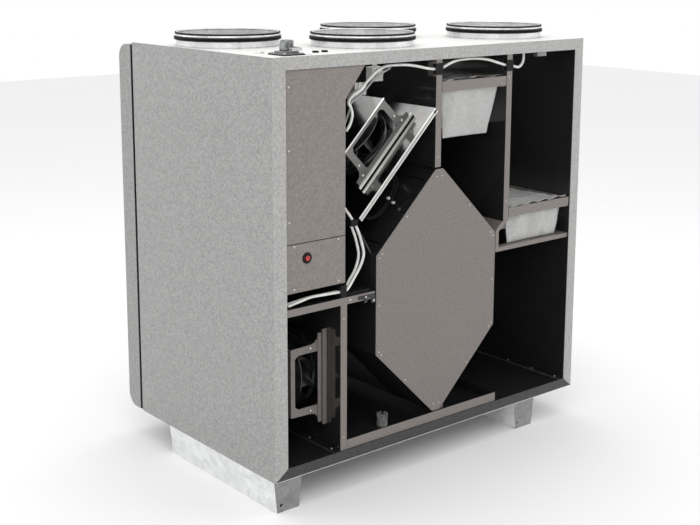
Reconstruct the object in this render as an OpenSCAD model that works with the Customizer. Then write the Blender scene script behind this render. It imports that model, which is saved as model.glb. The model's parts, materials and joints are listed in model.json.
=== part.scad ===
// Ducted heat recovery ventilation unit with its front door taken off.
// Working frame of the modules: x from the left side, y from the open front
// into the depth, z up from the underside of the casing. place() moves it to
// the centre of the floor under the feet.

/* [Casing] */
// Width of the casing
casing_w = 1020; // [1016:1:1024]
// Depth of the casing, without the rear door
casing_d = 590; // [588:1:592]
// Height of the casing, without feet and spigots
casing_h = 966; // [964:1:968]
// Thickness of the insulated left side panel
left_t = 37; // [36:0.5:38]
// Thickness of the insulated right side panel
right_t = 31; // [30:0.5:32]
// Thickness of the insulated top panel
top_t = 29; // [28:0.5:30]
// Thickness of the insulated bottom panel
bottom_t = 27; // [26:0.5:28]
// Thickness of the painted inner lining
lining_t = 1; // [0.8:0.1:1.2]

/* [Rear door] */
// Thickness of the rear door
door_t = 57; // [54:1:60]
// Thickness of the rear door's gasket
gasket_t = 12; // [10:1:12]
// Radius of the door's rounded top and bottom edges
door_r = 35; // [30:1:38]

/* [Feet] */
// Height of the feet
foot_h = 75; // [70:1:80]
// Width of a foot at its top
foot_w = 79; // [76:1:82]
// Length of a foot, front to back
foot_l = 450; // [440:5:460]

/* [Duct spigots] */
// Outside diameter of a duct spigot
spigot_d = 249; // [248:0.5:249.5]
// Height of a spigot above the top panel
spigot_h = 34; // [32:1:40]

/* [Heat exchanger] */
// Half width of the six-sided exchanger
core_half_w = 201; // [199:0.5:202]
// Half height of the six-sided exchanger
core_half_h = 309; // [307:0.5:310]
// Depth of the bypass channel in front of the core
bypass_d = 146; // [140:1:150]

/* [Fans] */
// Outside diameter of an impeller
impeller_d = 200; // [196:1:204]
// Height of a fan bracket above its mounting plate
bracket_h = 104; // [103:0.5:106]
// Distance of a fan's axis behind the front
fan_y = 172; // [171:0.5:174]

/* [Filters] */
// Height of a filter's header frame
filter_h = 24; // [22:1:26]
// Depth of a bag filter
filter_d = 560; // [540:5:565]

/* [Reset button] */
// Travel of the reset button
button_travel = 2; // [1:0.5:2]

/* [Hidden] */
$fn = 48;
eps = 0.01;
sheet = 1.5;
door_y = casing_d + gasket_t;
door_back = door_y + door_t;
lock_out = 4;
hinge_out = 13;
inner_x0 = left_t;
inner_x1 = casing_w - right_t;
inner_z0 = bottom_t;
inner_z1 = casing_h - top_t;
panel_y0 = 1.5;
part_y0 = 3;
part_y1 = 586;

// Partitions, 19 mm folded sheet
post_w = 19;
post_1_x = 193;
post_2_x = 487;
post_3_x = 732;
shelf_z = 384;
shelf_h = 17;
shelf_x1 = 297;
notch_y = 13;
notch_h = 24;
notch_2_z = 902;
notch_3_z = 897;
post_2_z = 676;
post_3_z = 509;

// Exchanger
core_x = 506;
core_z = 361;
core_tip = 12;
core_side = 122;
core_y0 = 6;
core_plate = 2;
core_y1 = 562;
blade_half = 96;
spindle_z = -6;
spindle_r = 3;

// Fans: a point on each mounting surface, and the turn about y of its axis
upper_fan_x = 380;
upper_fan_z = 716;
upper_fan_turn = -45;
lower_fan_x = post_1_x;
lower_fan_z = 200;
lower_fan_turn = -90;
plate_lo = -188;
plate_hi = 149;
cheek_y = 114;
inlet_r = 78;
inlet_hole_r = 91;
axle_r = 6;
axle_gap = 0.05;
end_plate_z = bracket_h - 2;
motor_r = 46;

// Control box
cover_y = 4;
lower_cover_z = [437, 548];
upper_cover_z0 = 550;
cover_x = [38, 207];
box_back_y = 120;
duct_wall = [[208.5, 401.5], [208.5, 862], [266, 936.5], [268.5, 936.5], [211, 861], [211, 401.5]];
button_x = 96;
button_z = 513;
button_r = 6;
bezel_r = 13;

// Filters: left edge, width, bottom of the header, drop of the bag
filter_1 = [507.5, 223, 859, 118];
filter_2 = [752.5, 234, 517, 72];

// Condensate drains
drain_x = [375, 572];
drain_y = 62;
drain_r = 9;
drain_drop = 22;

// Spigot centres: exhaust, supply, extract, outdoor
exhaust_at = [134, 363];
supply_at = [388, 160];
extract_at = [600, 388];
outdoor_at = [876, 190];

// Plug and cable entries on the top
plug_at = [76, 49];

// Door hinges and locks
hinge_x = casing_w + 7;
hinge_y = casing_d + 6;
hinge_z = [130, 483, 836];
lock_x = 76;
lock_z = [150, 816];

// Routes of the cables that the unit holds from end to end
fan_cable_route = [[48, 12, 407], [62, 13, 409], [85, 12, 413], [113, 12, 417], [157, 11, 416],
    [196, 9, 415], [214, 9, 416], [226, 11, 424], [241, 13, 440], [256, 14, 458], [267, 14, 477],
    [271, 14, 496], [265, 14, 520], [256, 13, 543], [247, 12, 561], [240, 12, 573]];
lead_route = [[44, 22, 408], [70, 22, 410], [110, 21, 414], [160, 20, 414], [196, 17, 415],
    [218, 18, 419], [232, 20, 434], [247, 20, 453], [258, 21, 474], [261, 21, 495], [256, 21, 518],
    [248, 20, 541], [237, 17, 561], [232, 15, 573]];
motor_cable_route = [[222, 30, 612], [226, 26, 602], [231, 19, 591], [235, 13, 580]];
sensor_cable_route = [[225, 24, 786], [234, 21, 801], [240, 20, 822], [236, 20, 839], [229, 20, 853],
    [242, 20, 867], [266, 20, 879], [285, 20, 897], [304, 20, 912], [322, 20, 923], [341, 18, 929],
    [367, 15, 930], [396, 9, 929], [429, 8, 924], [462, 8, 917], [487, 9, 914], [506, 9, 914],
    [540, 9, 926], [567, 11, 931], [600, 14, 932], [638, 14, 931], [674, 12, 926], [706, 9, 917],
    [732, 9, 910], [751, 9, 908], [768, 10, 904], [781, 11, 902], [792, 12, 906], [799, 12, 915],
    [802, 13, 925], [803, 14, 936]];
cable_r = 3.4;

// Moves the working frame to the middle of the floor under the feet
module place() {
    translate([-(casing_w + hinge_out) / 2, -(door_back + lock_out) / 2, foot_h]) children();
}

// A block from its low corner to its high corner
module block(low, high) {
    translate(low) cube(high - low);
}

// A sheet outline in x and z, extruded from y0 to y1
module across(y0, y1) {
    translate([0, y1, 0]) rotate([90, 0, 0]) linear_extrude(y1 - y0) children();
}

// A cylinder that runs along y from y0 to y1
module y_rod(x, z, r, y0, y1) {
    translate([x, y1, z]) rotate([90, 0, 0]) cylinder(h = y1 - y0, r = r);
}

// A domed screw head whose face looks along -y
module front_screw(x, y, z, r = 3.2) {
    translate([x, y, z]) rotate([90, 0, 0]) difference() {
        union() {
            cylinder(h = 1.2, r = r);
            translate([0, 0, 1.2]) cylinder(h = 0.9, r1 = r, r2 = r * 0.7, $fn = 24);
        }
        translate([0, 0, 1.3]) cylinder(h = 2, r = r * 0.42, $fn = 6);
    }
}

// One point of a smooth curve through four control points
function curve(a, b, c, d, t) =
    0.5 * (2 * b + (c - a) * t + (2 * a - 5 * b + 4 * c - d) * t * t + (3 * b - a - 3 * c + d) * t * t * t);

// A route made smooth, with n steps between its points
function smooth(p, n) = concat(
    [for (i = [0:len(p) - 2]) for (j = [0:n - 1])
        curve(p[max(i - 1, 0)], p[i], p[i + 1], p[min(i + 2, len(p) - 1)], j / n)],
    [p[len(p) - 1]]);

function unit(v) = v / norm(v);
function heading(p, i) = unit(p[min(i + 1, len(p) - 1)] - p[max(i - 1, 0)]);

// A round cable along a route, with 8 sides
module cable(route, r = cable_r, steps = 1) {
    path = smooth(route, steps);
    sides = 8;
    aside = [0.1, 1, 0.05];
    points = [for (i = [0:len(path) - 1])
        let (t = heading(path, i), u = unit(cross(t, aside)), v = cross(t, u))
        for (k = [0:sides - 1]) path[i] + r * (cos(k * 360 / sides) * u + sin(k * 360 / sides) * v)];
    last = (len(path) - 1) * sides;
    faces = concat(
        [[for (k = [sides - 1:-1:0]) sides - 1 - k]],
        [[for (k = [0:sides - 1]) last + sides - 1 - k]],
        [for (i = [0:len(path) - 2]) for (k = [0:sides - 1])
            let (a = i * sides + k, b = i * sides + (k + 1) % sides) [a, a + sides, b + sides, b]]);
    polyhedron(points = points, faces = faces);
}

// ---- Casing ----

// One side panel: an outer sheet the full height and an insulated core
module side_panel(x_out, x_in) {
    skin = x_in > x_out ? 1.2 : -1.2;
    low = min(x_out, x_out + skin);
    core = [min(x_out + skin, x_in), max(x_out + skin, x_in)];
    block([low, panel_y0, 0], [low + 1.2, casing_d, casing_h]);
    block([core[0], panel_y0, inner_z0], [core[1], casing_d, inner_z1]);
}

module left_side_panel() {
    color("#a19e9a") place() side_panel(0, inner_x0 - lining_t);
}

module right_side_panel() {
    color("#a19e9a") place() side_panel(casing_w, inner_x1 + lining_t);
}

module spigot_holes(z0, z1) {
    for (p = [exhaust_at, supply_at, extract_at, outdoor_at])
        translate([p[0], p[1], z0 - 1]) cylinder(h = z1 - z0 + 2, d = spigot_d + 1, $fn = 96);
}

module top_panel() {
    color("#d8d7d4") place() difference() {
        block([1.2, panel_y0, inner_z1 + lining_t], [casing_w - 1.2, casing_d, casing_h]);
        spigot_holes(inner_z1, casing_h);
    }
}

module bottom_panel() {
    color("#a19e9a") place() difference() {
        block([1.2, panel_y0, 0], [casing_w - 1.2, casing_d, inner_z0 - lining_t]);
        drain_places() translate([0, 0, -1]) cylinder(h = inner_z0 + 2, r = drain_r + 0.3);
    }
}

// Black painted lining sheets on the four inner faces
module inner_lining() {
    color("#17181a") place() {
        block([inner_x0 - lining_t, panel_y0, inner_z0], [inner_x0, casing_d, inner_z1]);
        block([inner_x1, panel_y0, inner_z0], [inner_x1 + lining_t, casing_d, inner_z1]);
        difference() {
            block([inner_x0, panel_y0, inner_z1], [inner_x1, casing_d, inner_z1 + lining_t]);
            spigot_holes(inner_z1 - 1, inner_z1 + 2);
        }
        difference() {
            block([inner_x0, panel_y0, inner_z0 - lining_t], [inner_x1, casing_d, inner_z0]);
            drain_places() translate([0, 0, -1]) cylinder(h = inner_z0 + 2, r = drain_r + 0.3);
        }
    }
}

// Mitred trim on the front edges of the four panels
module front_frame() {
    gap = 0.2;
    outer = [[0, 0], [0, casing_h], [casing_w, casing_h], [casing_w, 0]];
    inner = [[inner_x0, inner_z0], [inner_x0, inner_z1], [inner_x1, inner_z1], [inner_x1, inner_z0]];
    color("#bdbbb7") place() across(0, panel_y0) for (i = [0:3])
        offset(delta = -gap) polygon([outer[i], outer[(i + 1) % 4], inner[(i + 1) % 4], inner[i]]);
}

// ---- Feet ----

// A folded sheet rail, closed at both ends, tapering to the floor
module foot(x0, hole_x) {
    inset = 8;
    wall = 2;
    top = -eps;
    outer = [[x0, top], [x0 + foot_w, top], [x0 + foot_w - inset, -foot_h], [x0 + inset, -foot_h]];
    color("#c9cac9") place() difference() {
        translate([0, 5, 0]) difference() {
            across(0, foot_l) polygon(outer);
            across(wall, foot_l - wall) polygon([[x0 + wall, top + 1], [x0 + foot_w - wall, top + 1],
                [x0 + foot_w - inset - wall, wall - foot_h], [x0 + inset + wall, wall - foot_h]]);
        }
        y_rod(hole_x, -foot_h + 16, 4, -20, 30);
        for (y = [45, foot_l - 35]) translate([x0 + foot_w / 2, y, -foot_h - 1]) cylinder(h = 10, r = 5);
    }
}

module left_foot() {
    foot(0, 20);
}

module right_foot() {
    foot(794, 812);
}

// ---- Duct spigots ----

// A rolled steel tube with its rim turned inwards and a collar on the panel
module spigot(at) {
    r = spigot_d / 2;
    neck = r - 2.5;
    wall = 1.2;
    low = inner_z1;
    high = casing_h + spigot_h;
    bead = 1.8;
    color("#c4c6c6") place() translate([at[0], at[1], 0]) rotate_extrude($fn = 96)
        polygon(concat(
            [[neck - wall, low], [neck, low], [neck, casing_h], [r + 3.2, casing_h], [r + 3.2, casing_h + 1.2],
                [neck, casing_h + 1.2], [neck, casing_h + 2], [r, casing_h + 2]],
            [for (a = [0:30:210]) [r - bead + bead * cos(a), high - bead + bead * sin(a)]],
            [[r - wall, high - 2 * bead], [r - wall, casing_h + 3.2], [neck - wall, casing_h + 3.2]]));
}

module exhaust_spigot() {
    spigot(exhaust_at);
}

module supply_spigot() {
    spigot(supply_at);
}

module extract_spigot() {
    spigot(extract_at);
}

module outdoor_spigot() {
    spigot(outdoor_at);
}

// Double-lip rubber rings around the spigots, with the lips pressed flat as in a duct
module spigot_seals() {
    r = spigot_d / 2 + eps;
    z = casing_h + spigot_h - 16;
    color("#202123") place() for (p = [exhaust_at, supply_at, extract_at, outdoor_at])
        translate([p[0], p[1], z]) rotate_extrude($fn = 96)
            polygon([[r, 0], [r + 0.2, 0], [r + 0.4, 3], [r + 0.2, 5], [r + 0.4, 8], [r + 0.2, 10], [r, 10]]);
}

// ---- Partitions ----

module lower_partition() {
    color("#6f6b68") place() difference() {
        block([post_1_x, part_y0, inner_z0 + eps], [post_1_x + post_w, part_y1, shelf_z]);
        translate([post_1_x - 1, fan_y, lower_fan_z]) rotate([0, 90, 0])
            cylinder(h = post_w + 2, r = inlet_hole_r, $fn = 96);
    }
}

// The shelf leaves a way up behind the control box for the exhaust air
module shelf_panel() {
    color("#6f6b68") place() difference() {
        block([inner_x0 + eps, part_y0, shelf_z], [shelf_x1, part_y1, shelf_z + shelf_h]);
        block([50, 250, shelf_z - 1], [180, 572, shelf_z + shelf_h + 1]);
    }
}

// A standing partition with a notch for the cable at its front edge
module notched_post(x, z0, notch_z) {
    color("#6f6b68") place() difference() {
        block([x, part_y0, z0], [x + post_w, part_y1, inner_z1 - eps]);
        block([x - 1, part_y0 - 1, notch_z], [x + post_w + 1, part_y0 + notch_y, notch_z + notch_h]);
    }
}

module upper_partition() {
    notched_post(post_2_x, post_2_z, notch_2_z);
}

module filter_partition() {
    notched_post(post_3_x, post_3_z, notch_3_z);
}

// Folded sheet that joins the filter partition to the exchanger and carries a rail
module exchanger_bracket() {
    right = core_x + core_half_w + 1;
    color("#8b8784") place() difference() {
        across(part_y0 + 2, part_y1) polygon([[post_3_x, post_3_z - 0.1], [right, 487], [right, 430],
            [inner_x1 - 0.1, 430], [inner_x1 - 0.1, 441], [right + 11, 441], [right + 11, 483],
            [post_3_x + post_w, post_3_z - 0.1]]);
        block([735, 25, 425], [975, 570, 445]);
    }
}

// Folded wall between the control box side and the supply air
module duct_wall() {
    color("#26272a") place() difference() {
        across(12, part_y1) polygon(duct_wall);
        block([200, 0, 400], [220, 28, 432]);
    }
}

// Sloping sheet from the foot of the fan plate to the exchanger
module baffle_plate() {
    left = core_x - core_half_w - 1;
    color("#26272a") place() across(20, part_y1) polygon([[211.5, 402], [shelf_x1 + 6, 402], [left, 470],
        [left, 484], [250, 572], [247, 570], [left - 3, 482], [left - 3, 470], [shelf_x1 + 4, 404],
        [211.5, 404]]);
}

// ---- Fans ----

// Turns a fan from its own frame (z out of the mounting surface) into place
module fan_place(x, z, turn) {
    place() translate([x, fan_y, z]) rotate([0, turn, 0]) children();
}

module upper_fan() {
    fan_place(upper_fan_x, upper_fan_z, upper_fan_turn) children();
}

module lower_fan() {
    fan_place(lower_fan_x, lower_fan_z, lower_fan_turn) children();
}

// Inclined mounting plate with a turned-down front edge and the inlet opening
module fan_plate() {
    edge = 11;
    color("#aeaca8") upper_fan() difference() {
        union() {
            block([plate_lo, part_y0 - fan_y, -2], [plate_hi, 560 - fan_y, 0]);
            block([plate_lo, part_y0 - fan_y, -edge], [plate_hi - edge, part_y0 + 2 - fan_y, -2 + eps]);
        }
        translate([0, 0, -3]) cylinder(h = 5, r = inlet_hole_r, $fn = 96);
    }
}

// Side cheek outline: u along the mounting surface, w away from it
function cheek_outline() = [[-110, 0], [110, 0], [110, 24], [96, 26], [88, 34], [85, 46], [83, bracket_h],
    [-83, bracket_h], [-85, 46], [-88, 34], [-96, 26], [-110, 24]];
function cheek_window() = [[-62, 22], [62, 22], [66, 27], [66, 82], [58, 92], [-58, 92], [-66, 82], [-66, 27]];

// Sheet bracket: two cheeks with windows, feet and an end plate for the motor
module fan_bracket() {
    for (s = [-1, 1]) translate([0, s > 0 ? cheek_y : 2 - cheek_y, 0]) rotate([90, 0, 0]) linear_extrude(2)
        difference() {
            polygon(cheek_outline());
            polygon(cheek_window());
        }
    difference() {
        block([-83, 2 - cheek_y, end_plate_z], [83, cheek_y - 2, bracket_h]);
        translate([0, 0, end_plate_z - 1]) cylinder(h = 4, r = 14);
        for (s = [-1, 1]) translate([s * 56, 0, end_plate_z - 1]) cylinder(h = 4, r = 18);
    }
    for (s = [0, 1]) mirror([0, s, 0]) block([-110, cheek_y - 18, 0], [110, cheek_y - 2 + eps, 2]);
}

// Motor base with the axle that the rotor turns on
module fan_motor() {
    z0 = end_plate_z - 10;
    translate([0, 0, z0]) cylinder(h = 10, r = motor_r - 4);
    translate([0, 0, 30]) cylinder(h = z0 - 30 + eps, r = axle_r);
    translate([0, 0, bracket_h]) cylinder(h = 4, r = 13);
    translate([0, 0, end_plate_z - eps]) cylinder(h = 2 + 2 * eps, r = 13.9);
}

// Bell-mouthed inlet ring with its flange on the far side of a plate of the given thickness
module fan_inlet(plate) {
    wall = 1.5;
    lip = 12;
    z = lip - wall - plate;
    rotate_extrude($fn = 96) polygon(concat(
        [[inlet_r, 12], [inlet_r + wall, 12]],
        [for (a = [180:15:270]) [inlet_r + lip + (lip - wall) * cos(a), z + (lip - wall) * sin(a)]],
        [[inlet_r + 24, z - lip + wall], [inlet_r + 24, z - lip]],
        [for (a = [270:-15:180]) [inlet_r + lip + lip * cos(a), z + lip * sin(a)]]));
}

// Backward-leaning wheel: external rotor, back disc, blades, shroud ring and its lip
module impeller() {
    r = impeller_d / 2;
    rotor_z0 = 42;
    rotor_h = end_plate_z - 14 - rotor_z0;
    disc_z = 60;
    shroud_z = 18;
    difference() {
        union() {
            translate([0, 0, rotor_z0]) cylinder(h = rotor_h, r = motor_r);
            translate([0, 0, disc_z]) cylinder(h = 3, r = r, $fn = 96);
            difference() {
                union() {
                    translate([0, 0, shroud_z]) cylinder(h = 3, r = r - 2, $fn = 96);
                    translate([0, 0, 8]) cylinder(h = 12, r = inlet_r + 4, $fn = 96);
                }
                translate([0, 0, 7]) cylinder(h = 20, r = inlet_r + 2, $fn = 96);
            }
            for (k = [0:6]) rotate([0, 0, k * 360 / 7]) translate([motor_r - 5, 0, 0])
                rotate([0, 0, -32]) block([0, -1, shroud_z + 1.3], [57, 1, disc_z + 1.7]);
        }
        translate([0, 0, rotor_z0 - 1]) cylinder(h = rotor_h + 2, r = axle_r + axle_gap);
    }
}

module supply_fan_bracket() {
    color("#b9b7b3") upper_fan() fan_bracket();
}

module exhaust_fan_bracket() {
    color("#9b9794") lower_fan() fan_bracket();
}

module supply_fan_motor() {
    color("#2a2b2d") upper_fan() fan_motor();
}

module exhaust_fan_motor() {
    color("#2a2b2d") lower_fan() fan_motor();
}

module supply_fan_inlet() {
    color("#3a3b3d") upper_fan() fan_inlet(2);
}

module exhaust_fan_inlet() {
    color("#3a3b3d") lower_fan() fan_inlet(post_w);
}

module supply_impeller() {
    color("#1b1c1e") upper_fan() impeller();
}

module exhaust_impeller() {
    color("#1b1c1e") lower_fan() impeller();
}

// ---- Condensate ----

module drain_places() {
    for (x = drain_x) translate([x, drain_y, 0]) children();
}

module condensate_tray() {
    x0 = post_1_x + post_w + 0.5;
    x1 = 718;
    color("#2c2d30") place() difference() {
        block([x0, part_y0, inner_z0 + eps], [x1, 580, 50.5]);
        block([x0 + 2, part_y0 + 2, inner_z0 + 2], [x1 - 2, 578, 60]);
        drain_places() translate([0, 0, inner_z0 - 1]) cylinder(h = 5, r = drain_r + 0.3);
    }
}

// Drain tubes down through the bottom, the larger one with a notched head
module drain_stubs() {
    low = -drain_drop;
    high = inner_z0 + 2 + eps;
    color("#a8a49c") place() difference() {
        union() {
            drain_places() translate([0, 0, low]) cylinder(h = drain_drop - 1, r = drain_r);
            drain_places() translate([0, 0, -1 - eps]) cylinder(h = high + 1 + eps, r = drain_r - 0.2);
            translate([drain_x[0], drain_y, high - eps]) cylinder(h = 30, r = 14);
            translate([drain_x[1], drain_y, high - eps]) cylinder(h = 16, r = drain_r + 1);
        }
        drain_places() translate([0, 0, low - 1]) cylinder(h = 90, r = drain_r - 1.5);
        for (a = [0:45:179]) translate([drain_x[0], drain_y, high + 22]) rotate([0, 0, a])
            block([-20, -2.5, 0], [20, 2.5, 9]);
    }
}

// ---- Filters ----

// Angle rails that carry the filter headers
module filter_rails() {
    color("#8b8784") place() {
        for (x = [post_2_x + post_w + eps, post_3_x - 12 - eps]) block([x, 10, 855.5], [x + 12, 575, 857.5]);
        for (x = [post_3_x + post_w + eps, inner_x1 - 12 - eps]) block([x, 10, 513.5], [x + 12, 575, 515.5]);
    }
}

// Header frame around the bags: front bar, back bar and two sides
module filter_frame(f) {
    bar = 3;
    translate([f[0], part_y0, f[2]]) difference() {
        cube([f[1], filter_d, filter_h]);
        translate([bar, bar, -1]) cube([f[1] - 2 * bar, filter_d - 2 * bar, filter_h + 2]);
    }
}

// Envelope of the filter bags under their header
module filter_bags(f) {
    edge = 16;
    taper = f[3] * 0.32;
    top = f[2] + filter_h - 4;
    right = f[0] + f[1];
    across(part_y0 + 5, part_y0 + filter_d - 5) polygon([[f[0] + edge, f[2] + 1], [f[0] + 4, f[2] + 5],
        [f[0] + 4, top], [right - 4, top], [right - 4, f[2] + 5], [right - edge, f[2] + 1],
        [right - edge - taper, f[2] - f[3]], [f[0] + edge + taper * 0.4, f[2] - f[3]]]);
}

module extract_filter_frame() {
    color("#aba7a3") place() filter_frame(filter_1);
}

module extract_filter_bags() {
    color("#e9e9e7") place() filter_bags(filter_1);
}

module supply_filter_frame() {
    color("#aba7a3") place() filter_frame(filter_2);
}

module supply_filter_bags() {
    color("#e9e9e7") place() filter_bags(filter_2);
}

// ---- Heat exchanger cassette ----

// Six-sided outline with short flats at top and bottom
module hexagon(inset = 0) {
    offset_xy = inset * 0.4142;
    w = core_half_w - inset;
    h = core_half_h - inset;
    tip = core_tip - offset_xy;
    side = core_side - offset_xy;
    translate([core_x, core_z]) polygon([[-tip, -h], [tip, -h], [w, -side], [w, side], [tip, h], [-tip, h],
        [-w, side], [-w, -side]]);
}

module exchanger_plate() {
    color("#98928d") place() across(core_y0, core_y0 + core_plate) hexagon();
    color("#98928d") place() across(core_y1 - core_plate, core_y1) hexagon();
}

module exchanger_core() {
    color("#232427") place() across(core_y0 + bypass_d, core_y1 - core_plate) hexagon(0.5);
}

// Turns a piece from the frame of the top left face, with its z out of the face
module blade_place() {
    translate([core_x - (core_half_w + core_tip) / 2, 0, core_z + (core_half_h + core_side) / 2])
        rotate([0, -45, 0]) children();
}

// Open channel in front of the core, with a window for the blade at the top left,
// one at the bottom right, and the two bearings of the blade's spindle
module bypass_channel() {
    wall = 2;
    y0 = core_y0 + core_plate;
    y1 = core_y0 + bypass_d;
    color("#303134") place() {
        difference() {
            across(y0, y1) difference() {
                hexagon(0.5);
                hexagon(0.5 + wall);
            }
            blade_place() block([-blade_half - 3, y0 + 11, -15], [blade_half + 3, y1 - 11, 15]);
            translate([2 * core_x, 0, 2 * core_z]) rotate([0, 180, 0])
                blade_place() block([-blade_half - 3, y0 + 11, -15], [blade_half + 3, y1 - 11, 15]);
        }
        blade_place() for (y = [y0, y1 - 9]) difference() {
            block([-8, y, -12], [8, y + 9, -wall]);
            y_rod(0, spindle_z, spindle_r + axle_gap, y - 1, y + 10);
        }
    }
}

// Blade of the bypass with its spindle along the middle
module bypass_blade() {
    y0 = core_y0 + core_plate;
    y1 = core_y0 + bypass_d;
    color("#5a5b5e") place() blade_place() {
        block([-blade_half, y0 + 13, -1.6], [blade_half, y1 - 13, 0]);
        block([-2, y0 + 13, spindle_z], [2, y1 - 13, -1.6 + eps]);
        y_rod(0, spindle_z, spindle_r, y0 + 0.6, y1 - 0.6);
    }
}

// ---- Control box ----

module control_box() {
    color("#8f8d8a") place() {
        block([inner_x0 + eps, box_back_y, shelf_z + shelf_h + eps], [208, box_back_y + sheet, inner_z1 - eps]);
        block([inner_x0 + eps, 8, lower_cover_z[0]], [208, box_back_y - eps, lower_cover_z[0] + sheet]);
    }
}

module lower_cover() {
    color("#8d8783") place() difference() {
        block([cover_x[0], cover_y, lower_cover_z[0]], [cover_x[1], cover_y + sheet, lower_cover_z[1]]);
        y_rod(button_x, button_z, 8, -1, 30);
    }
}

module upper_cover() {
    color("#8d8783") place() across(cover_y, cover_y + sheet) polygon([[cover_x[0], upper_cover_z0],
        [cover_x[1], upper_cover_z0], [cover_x[1], 862], [264, 936], [cover_x[0], 936]]);
}

module circuit_board() {
    y = box_back_y - 12;
    color("#2f5a3a") place() {
        block([55, y, 600], [190, y + 1.6, 850]);
        for (x = [62, 182]) for (z = [608, 842]) y_rod(x, z, 3, y + 1.6, box_back_y);
        block([70, y - 30, 620], [110, y, 665]);
        block([122, y - 14, 625], [176, y, 645]);
        block([70, y - 18, 790], [180, y, 806]);
        for (x = [80:22:170]) y_rod(x, 730, 7, y - 26, y);
    }
}

// Bushing of the reset button, with its nut behind the cover
module button_bezel() {
    color("#151516") place() translate([button_x, 0, button_z]) rotate([90, 0, 0]) rotate_extrude()
        polygon([[button_r + 0.25, -24], [7.8, -24], [7.8, -cover_y], [bezel_r, -cover_y],
            [bezel_r, -3], [bezel_r - 2, -1.6], [button_r + 0.25, -1.6]]);
}

module reset_button() {
    color("#c22a24") place() {
        y_rod(button_x, button_z, button_r, 0.2, 14);
        y_rod(button_x, button_z, button_r - 2, 14 - eps, 20);
    }
}

// Screws of the covers, the shelf, the filter header and the floor strips
module casing_screws() {
    color("#9a9a98") place() {
        for (p = [[60, 543], [186, 543], [187, 445], [60, 445]]) front_screw(p[0], cover_y, p[1]);
        for (z = [600, 760, 900]) front_screw(47, cover_y, z, 2.6);
        for (x = [222, 283]) front_screw(x, part_y0, shelf_z + shelf_h / 2, 2.6);
        for (y = [25, 179]) translate([981, y, inner_z0 + 2]) cylinder(h = 2, r = 3.2);
        for (y = [60, 190, 330]) translate([184, y, inner_z0 + 2]) cylinder(h = 2, r = 3.2);
    }
}

// Flat strips that fasten the sides and the lower partition to the floor
module floor_strips() {
    color("#3c3d40") place() {
        block([175, 5, inner_z0 + eps], [post_1_x - eps, 560, inner_z0 + 2]);
        block([973, 5, inner_z0 + eps], [inner_x1 - eps, 560, inner_z0 + 2]);
        block([inner_x0 + eps, 5, inner_z0 + eps], [52, 560, inner_z0 + 2]);
    }
}

// ---- Cables ----

// Rubber insert in a partition's notch, with a lip over the front
module notch_grommet(x, z) {
    block([x + eps, part_y0 - eps, z + eps], [x + post_w - eps, part_y0 + notch_y - 1, z + notch_h - eps]);
    block([x - 2.5, 1.6, z - 2], [x + post_w + 2.5, part_y0 - eps, z + notch_h + 2]);
}

// Rubber pieces that hold the cables, and two plugs in the top panel
module cable_grommets() {
    color("#151516") place() {
        block([194, 3, shelf_z + shelf_h + eps], [211, 26, 430]);
        notch_grommet(post_2_x, notch_2_z);
        notch_grommet(post_3_x, notch_3_z);
        block([226, 5, 566], [246, 20, 580]);
        for (x = [163, 189]) translate([x, 57, casing_h + eps]) cylinder(h = 4, r = 7.5);
    }
}

module fan_cables() {
    color("#dcdcd8") place() {
        cable(fan_cable_route);
        cable(lead_route);
        cable(motor_cable_route);
    }
}

module sensor_cable() {
    color("#dcdcd8") place() cable(sensor_cable_route, steps = 2);
}

// ---- Electrical connection ----

// Die-cast housing of the multi-pin plug on its rubber gasket, with the lever's pins
module plug_housing() {
    color("#7b7d7e") place() translate([plug_at[0], plug_at[1], casing_h + eps]) {
        block([-28, -29, 0], [28, 29, 2]);
        block([-22, -22, 2 - eps], [22, 22, 5]);
        difference() {
            block([-12, -13, 5 - eps], [12, 13, 33]);
            translate([-12, -20, 33]) rotate([0, 45, 0]) cube([8, 40, 8], center = false);
        }
        for (s = [-1, 1]) translate([0, s * 15, 12]) rotate([90, 0, 0]) cylinder(h = 5, r = 2.5, center = true);
    }
}

// Lever that swings over the plug to lock it
module locking_lever() {
    color("#a9abab") place() translate([plug_at[0], plug_at[1], casing_h + 12]) {
        for (s = [0, 1]) mirror([0, s, 0]) difference() {
            block([-4, 14.2, -4], [31, 16.2, 4]);
            y_rod(0, 0, 2.5 + axle_gap, 10, 20);
        }
        block([28, -14.2 - eps, -4], [31, 14.2 + eps, 4]);
    }
}

// Terminal block of the fan leads beside the control box
module terminal_block() {
    color("#b8b8b4") place() for (k = [0:2]) block([258 + k * 12, 34, 866], [267 + k * 12, 52, 892]);
}

// Pressure switch with its two hose nipples
module pressure_switch() {
    color("#b5b5b2") place() {
        block([368, 100, 884], [402, 122, 918]);
        y_rod(385, 901, 11, 92, 100 + eps);
        block([378, 110, 918 - eps], [392, 112, inner_z1 - eps]);
    }
}

// ---- Rear door ----

// Insulated door with rounded top and bottom edges
module rear_door() {
    z0 = 1;
    z1 = casing_h - 6;
    color("#a19e9a") place() difference() {
        translate([1, 0, 0]) rotate([90, 0, 90]) linear_extrude(casing_w - 2) polygon(concat(
            [[door_y, z0]],
            [for (a = [-90:10:0]) [door_back - door_r + door_r * cos(a), z0 + door_r + door_r * sin(a)]],
            [for (a = [0:10:90]) [door_back - door_r + door_r * cos(a), z1 - door_r + door_r * sin(a)]],
            [[door_y, z1]]));
        for (z = lock_z) y_rod(lock_x, z, 8.5, door_y - 1, door_back + 1);
    }
    color("#a19e9a") place() for (z = hinge_z) {
        hinge_knuckle(z - 9.5, 19);
        difference() {
            block([casing_w - 1 - eps, hinge_y, z - 9.5], [casing_w + 3, door_y + 36, z + 9.5]);
            translate([hinge_x, hinge_y, z - 12]) cylinder(h = 24, r = 5);
        }
    }
}

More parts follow.
